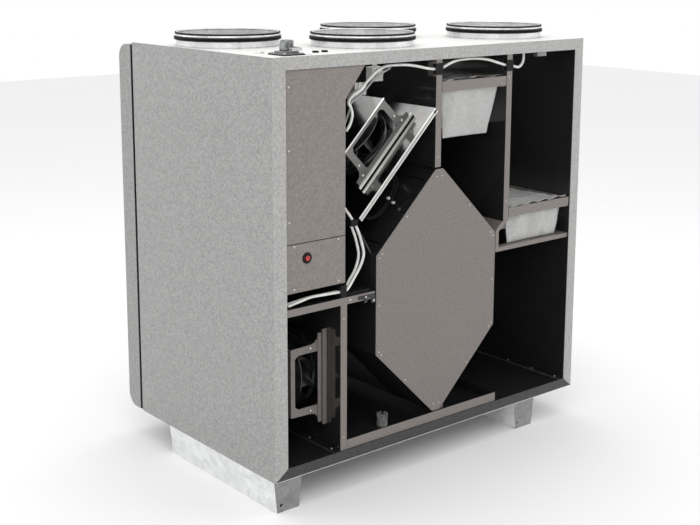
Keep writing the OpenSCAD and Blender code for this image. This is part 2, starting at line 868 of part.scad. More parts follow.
// Foam gasket around the door's inner face
module door_gasket() {
    color("#1a1a1b") place() across(casing_d + 0.4, door_y) difference() {
        translate([2, 2]) square([casing_w - 4, casing_h - 9]);
        translate([left_t - 2, bottom_t - 2]) square([casing_w - left_t - right_t + 4, casing_h - bottom_t - top_t - 4]);
    }
}

// One hinge: three knuckles on a pin, two on the casing and one on the door
module hinge_knuckle(z, h) {
    translate([hinge_x, hinge_y, z]) difference() {
        cylinder(h = h, r = 6);
        translate([0, 0, -1]) cylinder(h = h + 2, r = 3.05);
    }
}

// Casing leaves of the hinges with their pins, and the keepers of the locks
module door_fittings() {
    color("#8e9091") place() {
        for (z = hinge_z) {
            block([casing_w + eps, casing_d - 50, z - 30], [casing_w + 3, casing_d - 0.5, z + 30]);
            for (k = [z - 30, z + 10.5]) {
                hinge_knuckle(k, 19.5);
                difference() {
                    block([casing_w + eps, casing_d - 1, k], [casing_w + 3, hinge_y, k + 19.5]);
                    translate([hinge_x, hinge_y, k - 1]) cylinder(h = 22, r = 5);
                }
            }
            translate([hinge_x, hinge_y, z - 31]) cylinder(h = 62, r = 3);
        }
        for (z = lock_z) block([inner_x0 + eps, casing_d - 11, z - 20], [50, casing_d - 9, z + 20]);
    }
}

// One lock: a flush head, its shaft through the door and the cam, parked upright
module door_lock(z) {
    color("#8e9091") place() {
        y_rod(lock_x, z, 8, door_y - 24, door_back + 1);
        y_rod(lock_x, z, 13, door_back + 0.2, door_back + lock_out);
        block([lock_x - 8, door_y - 27, z - 34], [lock_x + 8, door_y - 24 + eps, z + 8]);
    }
}

module upper_lock() {
    door_lock(lock_z[1]);
}

module lower_lock() {
    door_lock(lock_z[0]);
}

left_side_panel();
right_side_panel();
top_panel();
bottom_panel();
inner_lining();
front_frame();
left_foot();
right_foot();
exhaust_spigot();
supply_spigot();
extract_spigot();
outdoor_spigot();
spigot_seals();
lower_partition();
shelf_panel();
upper_partition();
filter_partition();
exchanger_bracket();
duct_wall();
baffle_plate();
floor_strips();
fan_plate();
supply_fan_bracket();
supply_fan_motor();
supply_fan_inlet();
supply_impeller();
exhaust_fan_bracket();
exhaust_fan_motor();
exhaust_fan_inlet();
exhaust_impeller();
condensate_tray();
drain_stubs();
filter_rails();
control_box();
lower_cover();
upper_cover();
circuit_board();
button_bezel();
reset_button();
cable_grommets();
fan_cables();
sensor_cable();
plug_housing();
locking_lever();
terminal_block();
pressure_switch();
casing_screws();
exchanger_core();
exchanger_plate();
bypass_channel();
bypass_blade();
extract_filter_frame();
extract_filter_bags();
supply_filter_frame();
supply_filter_bags();
rear_door();
door_gasket();
door_fittings();
upper_lock();
lower_lock();
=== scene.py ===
import json
import math

import bmesh
import bpy
import numpy as np
from mathutils import Matrix, Vector, noise


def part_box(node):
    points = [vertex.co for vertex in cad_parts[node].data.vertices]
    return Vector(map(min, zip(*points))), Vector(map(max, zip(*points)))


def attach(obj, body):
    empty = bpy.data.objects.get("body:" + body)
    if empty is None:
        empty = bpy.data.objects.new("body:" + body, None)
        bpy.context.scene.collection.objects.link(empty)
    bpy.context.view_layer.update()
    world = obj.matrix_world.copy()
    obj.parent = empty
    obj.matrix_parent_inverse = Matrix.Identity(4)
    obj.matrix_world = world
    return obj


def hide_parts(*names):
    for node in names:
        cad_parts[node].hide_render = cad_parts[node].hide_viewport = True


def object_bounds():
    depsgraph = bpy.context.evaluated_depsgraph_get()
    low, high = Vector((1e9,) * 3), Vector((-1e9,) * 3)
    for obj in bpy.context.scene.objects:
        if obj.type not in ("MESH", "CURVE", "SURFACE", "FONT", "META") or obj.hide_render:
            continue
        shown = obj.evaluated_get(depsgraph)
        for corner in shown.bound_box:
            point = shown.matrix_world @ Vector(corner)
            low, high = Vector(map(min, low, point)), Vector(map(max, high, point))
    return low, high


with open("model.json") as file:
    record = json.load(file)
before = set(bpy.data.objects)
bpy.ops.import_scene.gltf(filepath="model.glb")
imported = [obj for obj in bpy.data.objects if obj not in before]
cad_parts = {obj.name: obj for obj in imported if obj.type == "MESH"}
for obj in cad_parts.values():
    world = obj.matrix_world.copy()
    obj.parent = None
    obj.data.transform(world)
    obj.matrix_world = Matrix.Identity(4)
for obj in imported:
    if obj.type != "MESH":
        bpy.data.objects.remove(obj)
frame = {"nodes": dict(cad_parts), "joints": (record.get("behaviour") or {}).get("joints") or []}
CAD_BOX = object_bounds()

bl_info = {
    "name": "Heat recovery unit",
    "version": (1, 0, 0),
    "blender": (4, 5, 0),
    "location": "View3D > Sidebar > Unit",
    "description": "Finishes, cloth, wheels, cables and fixings of a ducted heat recovery unit",
    "category": "Object",
}

NODES = frame["nodes"]
MM = 0.001

# Places and radii in mm of the working frame
CASING_TOP = 966
SPIGOT_R = 124.5
CABLE_R = 3.3
PLUG_AT = (76, 49)
PLATE_MIDDLE = 506

# Frames that the filter cloth has to settle
HANG_FRAMES = 22

FRONT = (0, -1, 0)
UP = (0, 0, 1)


# ---------------------------------------------------------------- placing

def at(x, y, z):
    """A point of the working frame (mm from the left, the front and the casing's underside), in metres."""
    low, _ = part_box("left_side_panel")
    front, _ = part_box("front_frame")
    return Vector((low.x + x * MM, front.y + y * MM, low.z + z * MM))


def joint(name):
    """The record's joint of that name."""
    return next(j for j in frame["joints"] if j["name"] == name)


def wheel_place(name):
    """A fan's own frame: y into the depth, z out of its mounting surface."""
    found = joint(name)
    out, deep = Vector(found["axis"]).normalized(), Vector((0, 1, 0))
    across = deep.cross(out)
    turn = Matrix((across, deep, out)).transposed().to_4x4()
    return Matrix.Translation(found["pos_m"]) @ turn


# ---------------------------------------------------------------- shader signals

class Signal:
    """A shader socket that can be used in sums."""

    def __init__(self, finish, socket):
        self.finish, self.socket = finish, socket

    def work(self, operation, *terms):
        return self.finish.node("ShaderNodeMath", {"operation": operation}, dict(enumerate(terms)))

    def __add__(self, other):
        return self.work("ADD", self, other)

    def __radd__(self, other):
        return self.work("ADD", other, self)

    def __sub__(self, other):
        return self.work("SUBTRACT", self, other)

    def __rsub__(self, other):
        return self.work("SUBTRACT", other, self)

    def __mul__(self, other):
        return self.work("MULTIPLY", self, other)

    def __rmul__(self, other):
        return self.work("MULTIPLY", other, self)

    def __pow__(self, other):
        return self.work("POWER", self, other)

    def above(self, edge, soft):
        """0 below edge, 1 above it, with a soft step."""
        return self.finish.node("ShaderNodeMapRange", {"interpolation_type": "SMOOTHSTEP"},
                                {"Value": self, "From Min": edge - soft, "From Max": edge + soft})


class Finish:
    """One material, built from Signals."""

    def __init__(self, name):
        self.material = bpy.data.materials.new(name)
        self.material.use_nodes = True
        self.tree = self.material.node_tree
        self.tree.nodes.clear()
        self.place = self.node("ShaderNodeTexCoord", {}, {}, "Object")

    def node(self, kind, settings, sockets, output=0):
        """Any node: its settings first, then its sockets' values or links."""
        made = self.tree.nodes.new(kind)
        for key, value in settings.items():
            if key == "stops":
                ramp = made.color_ramp
                while len(ramp.elements) < len(value):
                    ramp.elements.new(1.0)
                for element, (position, colour) in zip(ramp.elements, value):
                    element.position, element.color = position, (*colour, 1.0)
            else:
                setattr(made, key, value)
        for key, value in sockets.items():
            socket = made.inputs[key]
            if isinstance(value, Signal):
                self.tree.links.new(value.socket, socket)
            elif isinstance(value, tuple) and len(value) == 3 and socket.type == "RGBA":
                socket.default_value = (*value, 1.0)
            else:
                socket.default_value = value
        return Signal(self, made.outputs[output]) if made.outputs else made

    def grain(self, scale, detail=2.0, rough=0.5, where=None):
        return self.node("ShaderNodeTexNoise", {},
                         {"Vector": where or self.place, "Scale": scale, "Detail": detail,
                          "Roughness": rough})

    def cells(self, scale, output="Color"):
        return self.node("ShaderNodeTexVoronoi", {}, {"Vector": self.place, "Scale": scale}, output)

    def stretched(self, x, y, z):
        return self.node("ShaderNodeMapping", {}, {"Vector": self.place, "Scale": (x, y, z)})

    def ramp(self, signal, *stops):
        return self.node("ShaderNodeValToRGB", {"stops": stops}, {"Fac": signal})

    def blend(self, factor, one, two):
        return self.node("ShaderNodeMix", {"data_type": "RGBA"}, {0: factor, 6: one, 7: two}, 2)

    def bump(self, height, strength, depth):
        return self.node("ShaderNodeBump", {}, {"Height": height, "Strength": strength, "Distance": depth})

    def grey(self, colour):
        return self.node("ShaderNodeRGBToBW", {}, {"Color": colour})

    def done(self, **sockets):
        """Ends in one Principled shader, with its sockets named as words joined by underscores."""
        words = {key.replace("_", " "): value for key, value in sockets.items()}
        shader = self.node("ShaderNodeBsdfPrincipled", {}, words, "BSDF")
        self.node("ShaderNodeOutputMaterial", {}, {"Surface": shader})
        return self.material


def speckled_sheet(name, dark, light, metallic, rough, size=1.0, grime=0.10):
    """Zinc-coated sheet with the fine speckle of its coating."""
    f = Finish(name)
    fine, coarse = f.grain(430 / size, 1.0, 0.6), f.grain(200 / size, 1.5, 0.6)
    cloud = f.grain(5, 3.0)
    speck = (fine * 0.55 + coarse * 0.45).above(0.5, 0.12)
    colour = f.blend(speck * (1 - grime) + cloud * grime, dark, light)
    height = fine * 0.6 + coarse * 0.4
    return f.done(Base_Color=colour, Metallic=metallic, Roughness=rough + (speck - 0.5) * 0.12,
                  Normal=f.bump(height, 0.25, 0.0004))


def gloss_black(name, colour, rough, wave=0.35):
    """Black lacquered sheet, slightly wavy, with fine dust."""
    f = Finish(name)
    dust = f.grain(900, 1.0).above(0.66, 0.05)
    wavy, orange_peel = f.grain(3.2, 1.0), f.grain(260, 1.0)
    lit = tuple(c + 0.035 for c in colour)
    return f.done(Base_Color=f.blend(dust * 0.35, colour, lit), Roughness=rough + (wavy - 0.5) * 0.12,
                  Normal=f.bump(wavy * wave + orange_peel * 0.03, 0.5, 0.004))


def mirror_sheet(name, dark, light, rough, metallic=1.0, wave=0.5):
    """Coated sheet that is smooth enough to show what stands before it, a little wavy."""
    f = Finish(name)
    fine, cloud = f.grain(420, 2.0), f.grain(22, 3.0)
    wavy = f.grain(4.5, 1.0)
    shade = (cloud * 0.6 + fine * 0.4).above(0.5, 0.3)
    return f.done(Base_Color=f.blend(shade, dark, light), Metallic=metallic,
                  Roughness=rough + (fine - 0.5) * 0.05, Normal=f.bump(wavy * wave + fine * 0.02, 0.3, 0.002))


def galvanised(name, dark, light, rough, metallic=0.75):
    """Galvanised steel with its large soft spangle."""
    f = Finish(name)
    flakes, small = f.grey(f.cells(46)), f.grey(f.cells(150))
    streak = f.grain(14, 3.0, 0.6, f.stretched(1, 1, 5))
    shade = flakes * 0.45 + small * 0.2 + streak * 0.35
    return f.done(Base_Color=f.blend(shade.above(0.5, 0.3), dark, light), Metallic=metallic,
                  Roughness=rough + (flakes - 0.5) * 0.16, Normal=f.bump(small, 0.12, 0.0004))


def rubber(name, colour, rough=0.62, shine=0.2):
    """Rubber with a faint bloom and fine pores."""
    f = Finish(name)
    bloom = f.grain(35, 4.0)
    pores = f.grain(1400, 1.0)
    lit = tuple(c * 1.5 + 0.002 for c in colour)
    return f.done(Base_Color=f.blend(bloom.above(0.56, 0.12), colour, lit),
                  Roughness=rough + (bloom - 0.5) * 0.2, Specular_IOR_Level=shine,
                  Normal=f.bump(pores, 0.2, 0.0003))


def moulded(name, colour, rough, coat=0.0, texture=0.12):
    """Moulded plastic with a faint grain and small scuffs."""
    f = Finish(name)
    grain, scuff = f.grain(800, 1.0), f.grain(60, 4.0, 0.7)
    lit = tuple(min(1.0, c * 1.25 + 0.012) for c in colour)
    return f.done(Base_Color=f.blend(scuff.above(0.55, 0.14), colour, lit),
                  Roughness=rough + (scuff - 0.5) * 0.14,
                  Coat_Weight=coat, Coat_Roughness=0.08, Normal=f.bump(grain, texture, 0.0003))


def cast_metal(name, dark, light, rough):
    """Die-cast metal with its dull skin."""
    f = Finish(name)
    skin, cloud = f.grain(420, 3.0, 0.6), f.grain(40, 3.0)
    return f.done(Base_Color=f.blend(cloud.above(0.5, 0.2), dark, light), Metallic=0.85,
                  Roughness=rough + (skin - 0.5) * 0.2, Normal=f.bump(skin, 0.3, 0.0004))


def plated(name, light, rough):
    """Zinc-plated fixings with a brushed turn."""
    f = Finish(name)
    turned = f.grain(300, 2.0, 0.5, f.stretched(1, 6, 1))
    dark = tuple(c * 0.7 for c in light)
    return f.done(Base_Color=f.blend(turned, dark, light), Metallic=0.9,
                  Roughness=rough + (turned - 0.5) * 0.2, Normal=f.bump(turned, 0.15, 0.0002))


def stacked_core(name):
    """The exchanger's plate stack: fine edges side by side through the depth."""
    f = Finish(name)
    depth = f.node("ShaderNodeSeparateXYZ", {}, {0: f.place}, "Y")
    phase = f.node("ShaderNodeMath", {"operation": "FRACT"}, {0: depth * 340})
    edge = phase.above(0.5, 0.12)
    flow = f.grain(30, 2.0)
    return f.done(Base_Color=f.blend(edge, (0.008, 0.008, 0.009), (0.075, 0.078, 0.085)),
                  Roughness=0.32 + flow * 0.15, Normal=f.bump(edge, 0.7, 0.0015))


def filter_cloth(name):
    """Needled filter cloth: tangled fibres, a faint weave of the stiffening net, grey dust in the folds."""
    f = Finish(name)
    fibre = f.grain(700, 4.0, 0.7, f.stretched(1, 1, 0.35))
    across = f.grain(700, 4.0, 0.7, f.stretched(0.35, 1, 1))
    felt, dust = f.grain(120, 4.0, 0.6), f.grain(9, 3.0)
    tangle = fibre * 0.5 + across * 0.5
    tone = (felt * 0.5 + dust * 0.3 + tangle * 0.2).above(0.5, 0.25)
    colour = f.blend(tone, (0.33, 0.33, 0.325), (0.47, 0.47, 0.465))
    return f.done(Base_Color=colour, Roughness=0.92, Sheen_Weight=0.25, Sheen_Roughness=0.5,
                  Normal=f.bump(tangle * 0.5 + felt * 0.5, 0.5, 0.0009))


def printed_board(name):
    """Green circuit board with its tracks."""
    f = Finish(name)
    tracks = f.grey(f.cells(160))
    line = tracks.above(0.6, 0.03)
    return f.done(Base_Color=f.blend(line, (0.012, 0.07, 0.03), (0.03, 0.16, 0.06)), Roughness=0.38,
                  Normal=f.bump(line, 0.3, 0.0002))


def studio_floor(name):
    """Plain pale floor."""
    f = Finish(name)
    cloud = f.grain(1.5, 2.0)
    return f.done(Base_Color=f.blend(cloud, (0.86, 0.86, 0.86), (0.88, 0.88, 0.88)), Roughness=0.85)


FINISHES = {}


def make_finishes(look):
    """Every finish of the unit by its name."""
    panel, light = Vector(look.panel_colour), Vector(look.lit_top_colour)
    plate = Vector(look.plate_colour)
    FINISHES.update(
        panel=speckled_sheet("Speckled_panel", tuple(panel * 0.72), tuple(panel * 1.12), 0.25, 0.46, 1.25),
        door=speckled_sheet("Speckled_door", tuple(panel * 0.66), tuple(panel * 1.02), 0.25, 0.42, 1.25),
        # painted light: the top sheet is made pale for the light from above, while the sides keep the darker
        # panel colour
        top=speckled_sheet("Pale_top_painted_light", tuple(light * 0.9), tuple(light), 0.05, 0.5, 1.25),
        trim=speckled_sheet("Speckled_trim", tuple(panel * 0.86), tuple(panel * 1.24), 0.15, 0.5, 1.1),
        sill=speckled_sheet("Dark_sill", (0.022, 0.022, 0.022), (0.055, 0.055, 0.055), 0.1, 0.42, 1.3),
        plate=speckled_sheet("Speckled_plate", tuple(plate * 0.74), tuple(plate * 1.14), 0.3, 0.5, 1.0),
        cover=speckled_sheet("Speckled_cover", tuple(plate * 0.84), tuple(plate * 1.26), 0.3, 0.5, 1.0),
        edge=speckled_sheet("Speckled_edge", tuple(plate * 0.8), tuple(plate * 1.15), 0.3, 0.5, 0.9),
        lining=gloss_black("Black_lining", (0.014, 0.014, 0.0145), 0.22),
        wall=mirror_sheet("Black_wall", (0.15, 0.148, 0.145), (0.21, 0.207, 0.203), 0.1, 0.92, 0.3),
        bright=mirror_sheet("Bright_sheet", (0.36, 0.355, 0.35), (0.47, 0.465, 0.455), 0.15),
        # painted shade: the fan bracket's front faces, the same sheet as its bright inner faces, made darker
        arm=mirror_sheet("Grey_arm", (0.15, 0.148, 0.145), (0.22, 0.218, 0.214), 0.34, 0.9),
        # painted highlight: near-white mirror finish for thin edges that catch the light
        rim=mirror_sheet("Bright_rim_painted_highlight", (0.74, 0.735, 0.72), (0.88, 0.875, 0.86), 0.22, 0.9),
        dark=gloss_black("Dark_sheet", (0.014, 0.014, 0.015), 0.2, 0.25),
        galvanised=galvanised("Galvanised_steel", (0.66, 0.665, 0.67), (0.80, 0.805, 0.81), 0.32, 0.5),
        # painted shade: the feet's front faces are the same steel as their sides, made darker for the shade
        # on them
        foot_end=galvanised("Foot_end_painted_shade", (0.20, 0.20, 0.20), (0.30, 0.30, 0.30), 0.4, 0.4),
        bead=galvanised("Rolled_bead", (0.60, 0.60, 0.60), (0.86, 0.86, 0.86), 0.2, 0.9),
        foot=galvanised("Foot_steel", (0.66, 0.67, 0.675), (0.84, 0.845, 0.85), 0.42, 0.3),
        rubber=rubber("Black_rubber", (0.006, 0.006, 0.0065)),
        gasket=rubber("Door_gasket", (0.003, 0.003, 0.0035), 0.9, 0.05),
        wheel=moulded("Gloss_wheel", (0.010, 0.010, 0.011), 0.16, 0.6, 0.04),
        motor=moulded("Motor_black", (0.014, 0.014, 0.015), 0.34, 0.2, 0.15),
        inlet=moulded("Inlet_ring", (0.03, 0.03, 0.032), 0.3, 0.3, 0.1),
        tray=moulded("Tray_plastic", (0.012, 0.012, 0.013), 0.3, 0.2, 0.1),
        drain=galvanised("Drain_metal", (0.34, 0.335, 0.33), (0.62, 0.61, 0.60), 0.24, 0.5),
        cable=moulded("Cable_sheath", (0.62, 0.62, 0.60), 0.4, 0.1, 0.05),
        grey_cable=moulded("Grey_sheath", (0.30, 0.30, 0.30), 0.42, 0.1, 0.05),
        cast=cast_metal("Die_cast", (0.13, 0.135, 0.138), (0.27, 0.275, 0.28), 0.38),
        fixing=plated("Plated_steel", (0.66, 0.65, 0.63), 0.22),
        board=printed_board("Circuit_board"),
        button=moulded("Red_button", (0.36, 0.008, 0.008), 0.22, 0.3, 0.05),
        pale=moulded("Pale_plastic", (0.52, 0.52, 0.50), 0.44, 0.1, 0.1),
        core=stacked_core("Plate_stack"),
        cloth=filter_cloth("Filter_cloth"),
        floor=studio_floor("Studio_floor"),
    )


# ---------------------------------------------------------------- mesh helpers

def new_object(name, points, faces, smooth=True):
    """A mesh object from points in metres and faces."""
    mesh = bpy.data.meshes.new(name)
    mesh.from_pydata([tuple(p) for p in points], [], [tuple(f) for f in faces])
    mesh.validate()
    if smooth:
        mesh.shade_smooth()
    made = bpy.data.objects.new(name, mesh)
    bpy.context.scene.collection.objects.link(made)
    return made


def turned(profile, steps=96, closed=True):
    """Points and faces of a profile (radius, height in mm) turned about z, in metres."""
    count = len(profile)
    points = [(r * MM * math.cos(a), r * MM * math.sin(a), z * MM)
              for a in (2 * math.pi * s / steps for s in range(steps)) for r, z in profile]
    last = count if closed else count - 1
    faces = [(s * count + k, (s + 1) % steps * count + k, (s + 1) % steps * count + (k + 1) % count,
              s * count + (k + 1) % count) for s in range(steps) for k in range(last)]
    return points, faces


def rounded(corners, radius=2.0, steps=4):
    """A closed profile with its corners rounded."""
    out, count = [], len(corners)
    for i in range(count):
        before, here, after = (Vector(corners[(i + k) % count]) for k in (-1, 0, 1))
        a, b = (before - here), (after - here)
        r = min(radius, a.length * 0.45, b.length * 0.45)
        start, end = here + a.normalized() * r, here + b.normalized() * r
        for s in range(steps + 1):
            t = s / steps
            out.append((1 - t) ** 2 * start + 2 * t * (1 - t) * here + t * t * end)
    return [tuple(p) for p in out]


def smooth_route(points, steps=8):
    """A smooth line through points."""
    p = [Vector(q) for q in points]
    line = []
    for i in range(len(p) - 1):
        a, b, c, d = p[max(i - 1, 0)], p[i], p[i + 1], p[min(i + 2, len(p) - 1)]
        for s in range(steps):
            t = s / steps
            line.append(0.5 * (2 * b + (c - a) * t + (2 * a - 5 * b + 4 * c - d) * t * t
                               + (3 * b - a - 3 * c + d) * t * t * t))
    return line + [p[-1]]


def tube(name, route, radius, sides=14, steps=8):
    """A round cable along a route in the working frame."""
    line = smooth_route([at(*q) for q in route], steps)
    normal = Vector((0.1, 1, 0.05))
    points, faces = [], []
    for i, p in enumerate(line):
        ahead = (line[min(i + 1, len(line) - 1)] - line[max(i - 1, 0)]).normalized()
        normal = (normal - ahead * normal.dot(ahead)).normalized()
        side = ahead.cross(normal)
        points += [p + radius * MM * (math.cos(a) * normal + math.sin(a) * side)
                   for a in (2 * math.pi * k / sides for k in range(sides))]
    for i in range(len(line) - 1):
        for k in range(sides):
            a, b = i * sides + k, i * sides + (k + 1) % sides
            faces.append((a, b, b + sides, a + sides))
    faces.append(tuple(range(sides - 1, -1, -1)))
    faces.append(tuple(range((len(line) - 1) * sides, len(line) * sides)))
    made = new_object(name, points, faces)
    outward(made)
    return made


def outward(piece):
    """Turns every face of a closed piece outwards."""
    work = bmesh.new()
    work.from_mesh(piece.data)
    bmesh.ops.remove_doubles(work, verts=work.verts, dist=1e-6)
    bmesh.ops.recalc_face_normals(work, faces=work.faces)
    work.to_mesh(piece.data)
    work.free()


def crisp(piece, angle=35):
    """Smooth faces with sharp edges past an angle."""
    piece.data.shade_smooth()
    piece.data.set_sharp_from_angle(angle=math.radians(angle))


def bevelled(name, low, high, bevel=1.0, steps=3, place=None):
    """A block with rounded edges between two corners of the working frame, or of a given frame."""
    if place is None:
        place = Matrix.Translation(at(0, 0, 0))
    a, b = Vector(low) * MM, Vector(high) * MM
    work = bmesh.new()
    bmesh.ops.create_cube(work, size=1.0)
    for v in work.verts:
        v.co = Vector([(a[k] + b[k]) / 2 + v.co[k] * (b[k] - a[k]) for k in range(3)])
    bmesh.ops.bevel(work, geom=list(work.edges), offset=bevel * MM, segments=steps, profile=0.6,
                    affect="EDGES")
    work.transform(place)
    mesh = bpy.data.meshes.new(name)
    work.to_mesh(mesh)
    work.free()
    made = bpy.data.objects.new(name, mesh)
    bpy.context.scene.collection.objects.link(made)
    crisp(made)
    return made


def round_part(name, profile, matrix, steps=48):
    """A turned part of a closed profile, put in place by a matrix."""
    points, faces = turned(profile, steps)
    made = new_object(name, points, faces)
    made.data.transform(matrix)
    outward(made)
    crisp(made)
    return made


def joined(name, parts):
    """Several meshes as one piece, with its place in its mesh."""
    work = bmesh.new()
    for part in parts:
        work.from_mesh(part.data)
    mesh = bpy.data.meshes.new(name)
    work.to_mesh(mesh)
    work.free()
    for part in parts:
        bpy.data.objects.remove(part)
    made = bpy.data.objects.new(name, mesh)
    bpy.context.scene.collection.objects.link(made)
    crisp(made)
    return made


def put(piece, body, finish, slot, *nodes):
    """Gives a piece its finish, its body and the CAD nodes it stands for; the slot is not used."""
    piece.data.materials.clear()
    piece.data.materials.append(FINISHES[finish])
    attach(piece, body)
    if nodes:
        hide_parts(*nodes)
    return piece


def looking(direction):
    """The turn that points z along a direction."""
    return Vector(direction).to_track_quat("Z", "Y").to_matrix().to_4x4()


# ---------------------------------------------------------------- geometry nodes

def new_tree(name, *inputs):
    """A geometry tree with the given inputs, each a label, a kind and a default."""
    tree = bpy.data.node_groups.new(name, "GeometryNodeTree")
    tree.interface.new_socket("Geometry", in_out="INPUT", socket_type="NodeSocketGeometry")
    for label, kind, default in inputs:
        socket = tree.interface.new_socket(label, in_out="INPUT", socket_type=kind)
        if default is not None:
            socket.default_value = default
    tree.interface.new_socket("Geometry", in_out="OUTPUT", socket_type="NodeSocketGeometry")
    return tree


class Steps:
    """Adds linked nodes to a geometry tree."""

    def __init__(self, tree):
        self.tree = tree
        self.start = tree.nodes.new("NodeGroupInput")

    def given(self, name):
        return self.start.outputs[name]

    def node(self, kind, settings, sockets, output=0):
        made = self.tree.nodes.new(kind)
        for key, value in settings.items():
            setattr(made, key, value)
        for key, value in sockets.items():
            if isinstance(value, bpy.types.NodeSocket):
                self.tree.links.new(value, made.inputs[key])
            else:
                made.inputs[key].default_value = value
        return made.outputs[output]

    def finish(self, geometry):
        real = self.node("GeometryNodeRealizeInstances", {}, {0: geometry})
        coloured = self.node("GeometryNodeSetMaterial", {},
                             {"Geometry": real, "Material": self.given("Finish")})
        end = self.tree.nodes.new("NodeGroupOutput")
        self.tree.links.new(coloured, end.inputs[0])


def fixings_tree():
    """Puts one fixing at each point, turned to the point's own direction."""
    tree = new_tree("Fixings at points", ("Fixing", "NodeSocketObject", None),
                    ("Size", "NodeSocketFloat", 1.0), ("Finish", "NodeSocketMaterial", None),
                    ("Seed", "NodeSocketInt", 3))
    s = Steps(tree)
    facing = s.node("GeometryNodeInputNamedAttribute", {"data_type": "FLOAT_VECTOR"}, {"Name": "facing"})
    turn = s.node("FunctionNodeAlignRotationToVector", {"axis": "Z"}, {"Vector": facing})
    spin = s.node("FunctionNodeRandomValue", {"data_type": "FLOAT"},
                  {2: 0.0, 3: 6.283, "Seed": s.given("Seed")}, 1)
    own = s.node("FunctionNodeAxisAngleToRotation", {}, {"Axis": (0, 0, 1), "Angle": spin})
    both = s.node("FunctionNodeRotateRotation", {"rotation_space": "LOCAL"},
                  {"Rotation": turn, "Rotate By": own})
    shape = s.node("GeometryNodeObjectInfo", {}, {"Object": s.given("Fixing")}, "Geometry")
    points = s.node("GeometryNodeMeshToPoints", {}, {"Mesh": s.given("Geometry")})
    placed = s.node("GeometryNodeInstanceOnPoints", {},
                    {"Points": points, "Instance": shape, "Rotation": both, "Scale": s.given("Size")})
    s.finish(placed)
    return tree


def ring_tree():
    """Repeats one shape round the z axis."""
    tree = new_tree("Ring of blades", ("Count", "NodeSocketInt", 7), ("Finish", "NodeSocketMaterial", None))
    s = Steps(tree)
    points = s.node("GeometryNodePoints", {}, {"Count": s.given("Count"), "Radius": 0.001})
    index = s.node("GeometryNodeInputIndex", {}, {})
    share = s.node("ShaderNodeMath", {"operation": "DIVIDE"}, {0: index, 1: s.given("Count")})
    angle = s.node("ShaderNodeMath", {"operation": "MULTIPLY"}, {0: share, 1: 2 * math.pi})
    turn = s.node("FunctionNodeAxisAngleToRotation", {}, {"Axis": (0, 0, 1), "Angle": angle})
    placed = s.node("GeometryNodeInstanceOnPoints", {},
                    {"Points": points, "Instance": s.given("Geometry"), "Rotation": turn})
    s.finish(placed)
    return tree


def fins_tree():
    """Repeats one outline along y at an even pitch."""
    tree = new_tree("Stack of plates", ("Count", "NodeSocketInt", 60), ("Pitch", "NodeSocketFloat", 0.007),
                    ("Finish", "NodeSocketMaterial", None))
    s = Steps(tree)
    pitch = s.node("ShaderNodeCombineXYZ", {}, {"Y": s.given("Pitch")})
    line = s.node("GeometryNodeMeshLine", {}, {"Count": s.given("Count"), "Offset": pitch})
    placed = s.node("GeometryNodeInstanceOnPoints", {}, {"Points": line, "Instance": s.given("Geometry")})
    s.finish(placed)
    return tree


def grown(name, source, tree, **values):
    """Runs a tree on a source object and returns the result as a plain mesh object."""
    modifier = source.modifiers.new("Grow", "NODES")
    modifier.node_group = tree
    for socket in tree.interface.items_tree:
        if socket.item_type == "SOCKET" and socket.in_out == "INPUT" and socket.name in values:
            modifier[socket.identifier] = values[socket.name]
    source.update_tag()
    bpy.context.view_layer.update()
    graph = bpy.context.evaluated_depsgraph_get()
    mesh = bpy.data.meshes.new_from_object(source.evaluated_get(graph), depsgraph=graph)
    mesh.name = name
    source.modifiers.clear()
    bpy.data.objects.remove(source)
    made = bpy.data.objects.new(name, mesh)
    bpy.context.scene.collection.objects.link(made)
    crisp(made)
    return made


def fixing_shape(name, radius, height, drive):
    """A domed fixing head with a driven recess, its seat at z = 0."""
    profile = [(0.001, -0.6), (radius, -0.6), (radius, 0.25 * height), (radius * 0.92, 0.6 * height),
               (radius * 0.66, 0.93 * height), (drive + 0.35, height), (drive, height),
               (drive * 0.9, 0.35 * height), (0.001, 0.35 * height)]
    points, faces = turned(profile, 12)
    made = new_object(name, points, faces)
    outward(made)
    crisp(made, 30)
    return made


def fixings(name, body, places, radius, height, drive, finish="fixing", slot="screw_steel"):
    """Fixing heads at (point in the working frame, direction)."""
    head = fixing_shape(name + "_head", radius, height, drive)
    source = new_object(name + "_points", [at(*p) for p, _ in places], [])
    facing = source.data.attributes.new("facing", "FLOAT_VECTOR", "POINT")
    facing.data.foreach_set("vector", [c for _, d in places for c in Vector(d).normalized()])
    made = grown(name, source, TREES["fixings"], Fixing=head, Size=1.0, Finish=FINISHES[finish], Seed=5)
    bpy.data.objects.remove(head)
    return put(made, body, finish, slot)


TREES = {}


# ---------------------------------------------------------------- sizes a user would change

class LookSettings(bpy.types.PropertyGroup):
    panel_colour: bpy.props.FloatVectorProperty(
        name="Panel", description="Mean colour of the outer speckled sheet", subtype="COLOR",
        default=(0.345, 0.341, 0.337), min=0, max=1)
    # Painted light: the top sheet is drawn far paler than the sides, for the light that falls on it from
    # above
    lit_top_colour: bpy.props.FloatVectorProperty(
        name="Top", description="Colour of the top sheet", subtype="COLOR",
        default=(0.80, 0.79, 0.775), min=0, max=1)
    plate_colour: bpy.props.FloatVectorProperty(
        name="Plates", description="Mean colour of the inner speckled plates", subtype="COLOR",
        default=(0.205, 0.184, 0.173), min=0, max=1)


class ClothSettings(bpy.types.PropertyGroup):
    pockets: bpy.props.IntProperty(
        name="Pockets", description="Cloth pockets behind each other in one filter", default=6, min=3, max=9)
    fullness: bpy.props.FloatProperty(
        name="Fullness", description="Half thickness of a pocket at its mouth",
        subtype="DISTANCE", unit="LENGTH", default=0.030, min=0.01, max=0.05)
    slack: bpy.props.FloatProperty(
        name="Slack", description="How much longer the cloth is than its seams", default=0.05, min=0, max=0.1,
        subtype="FACTOR")


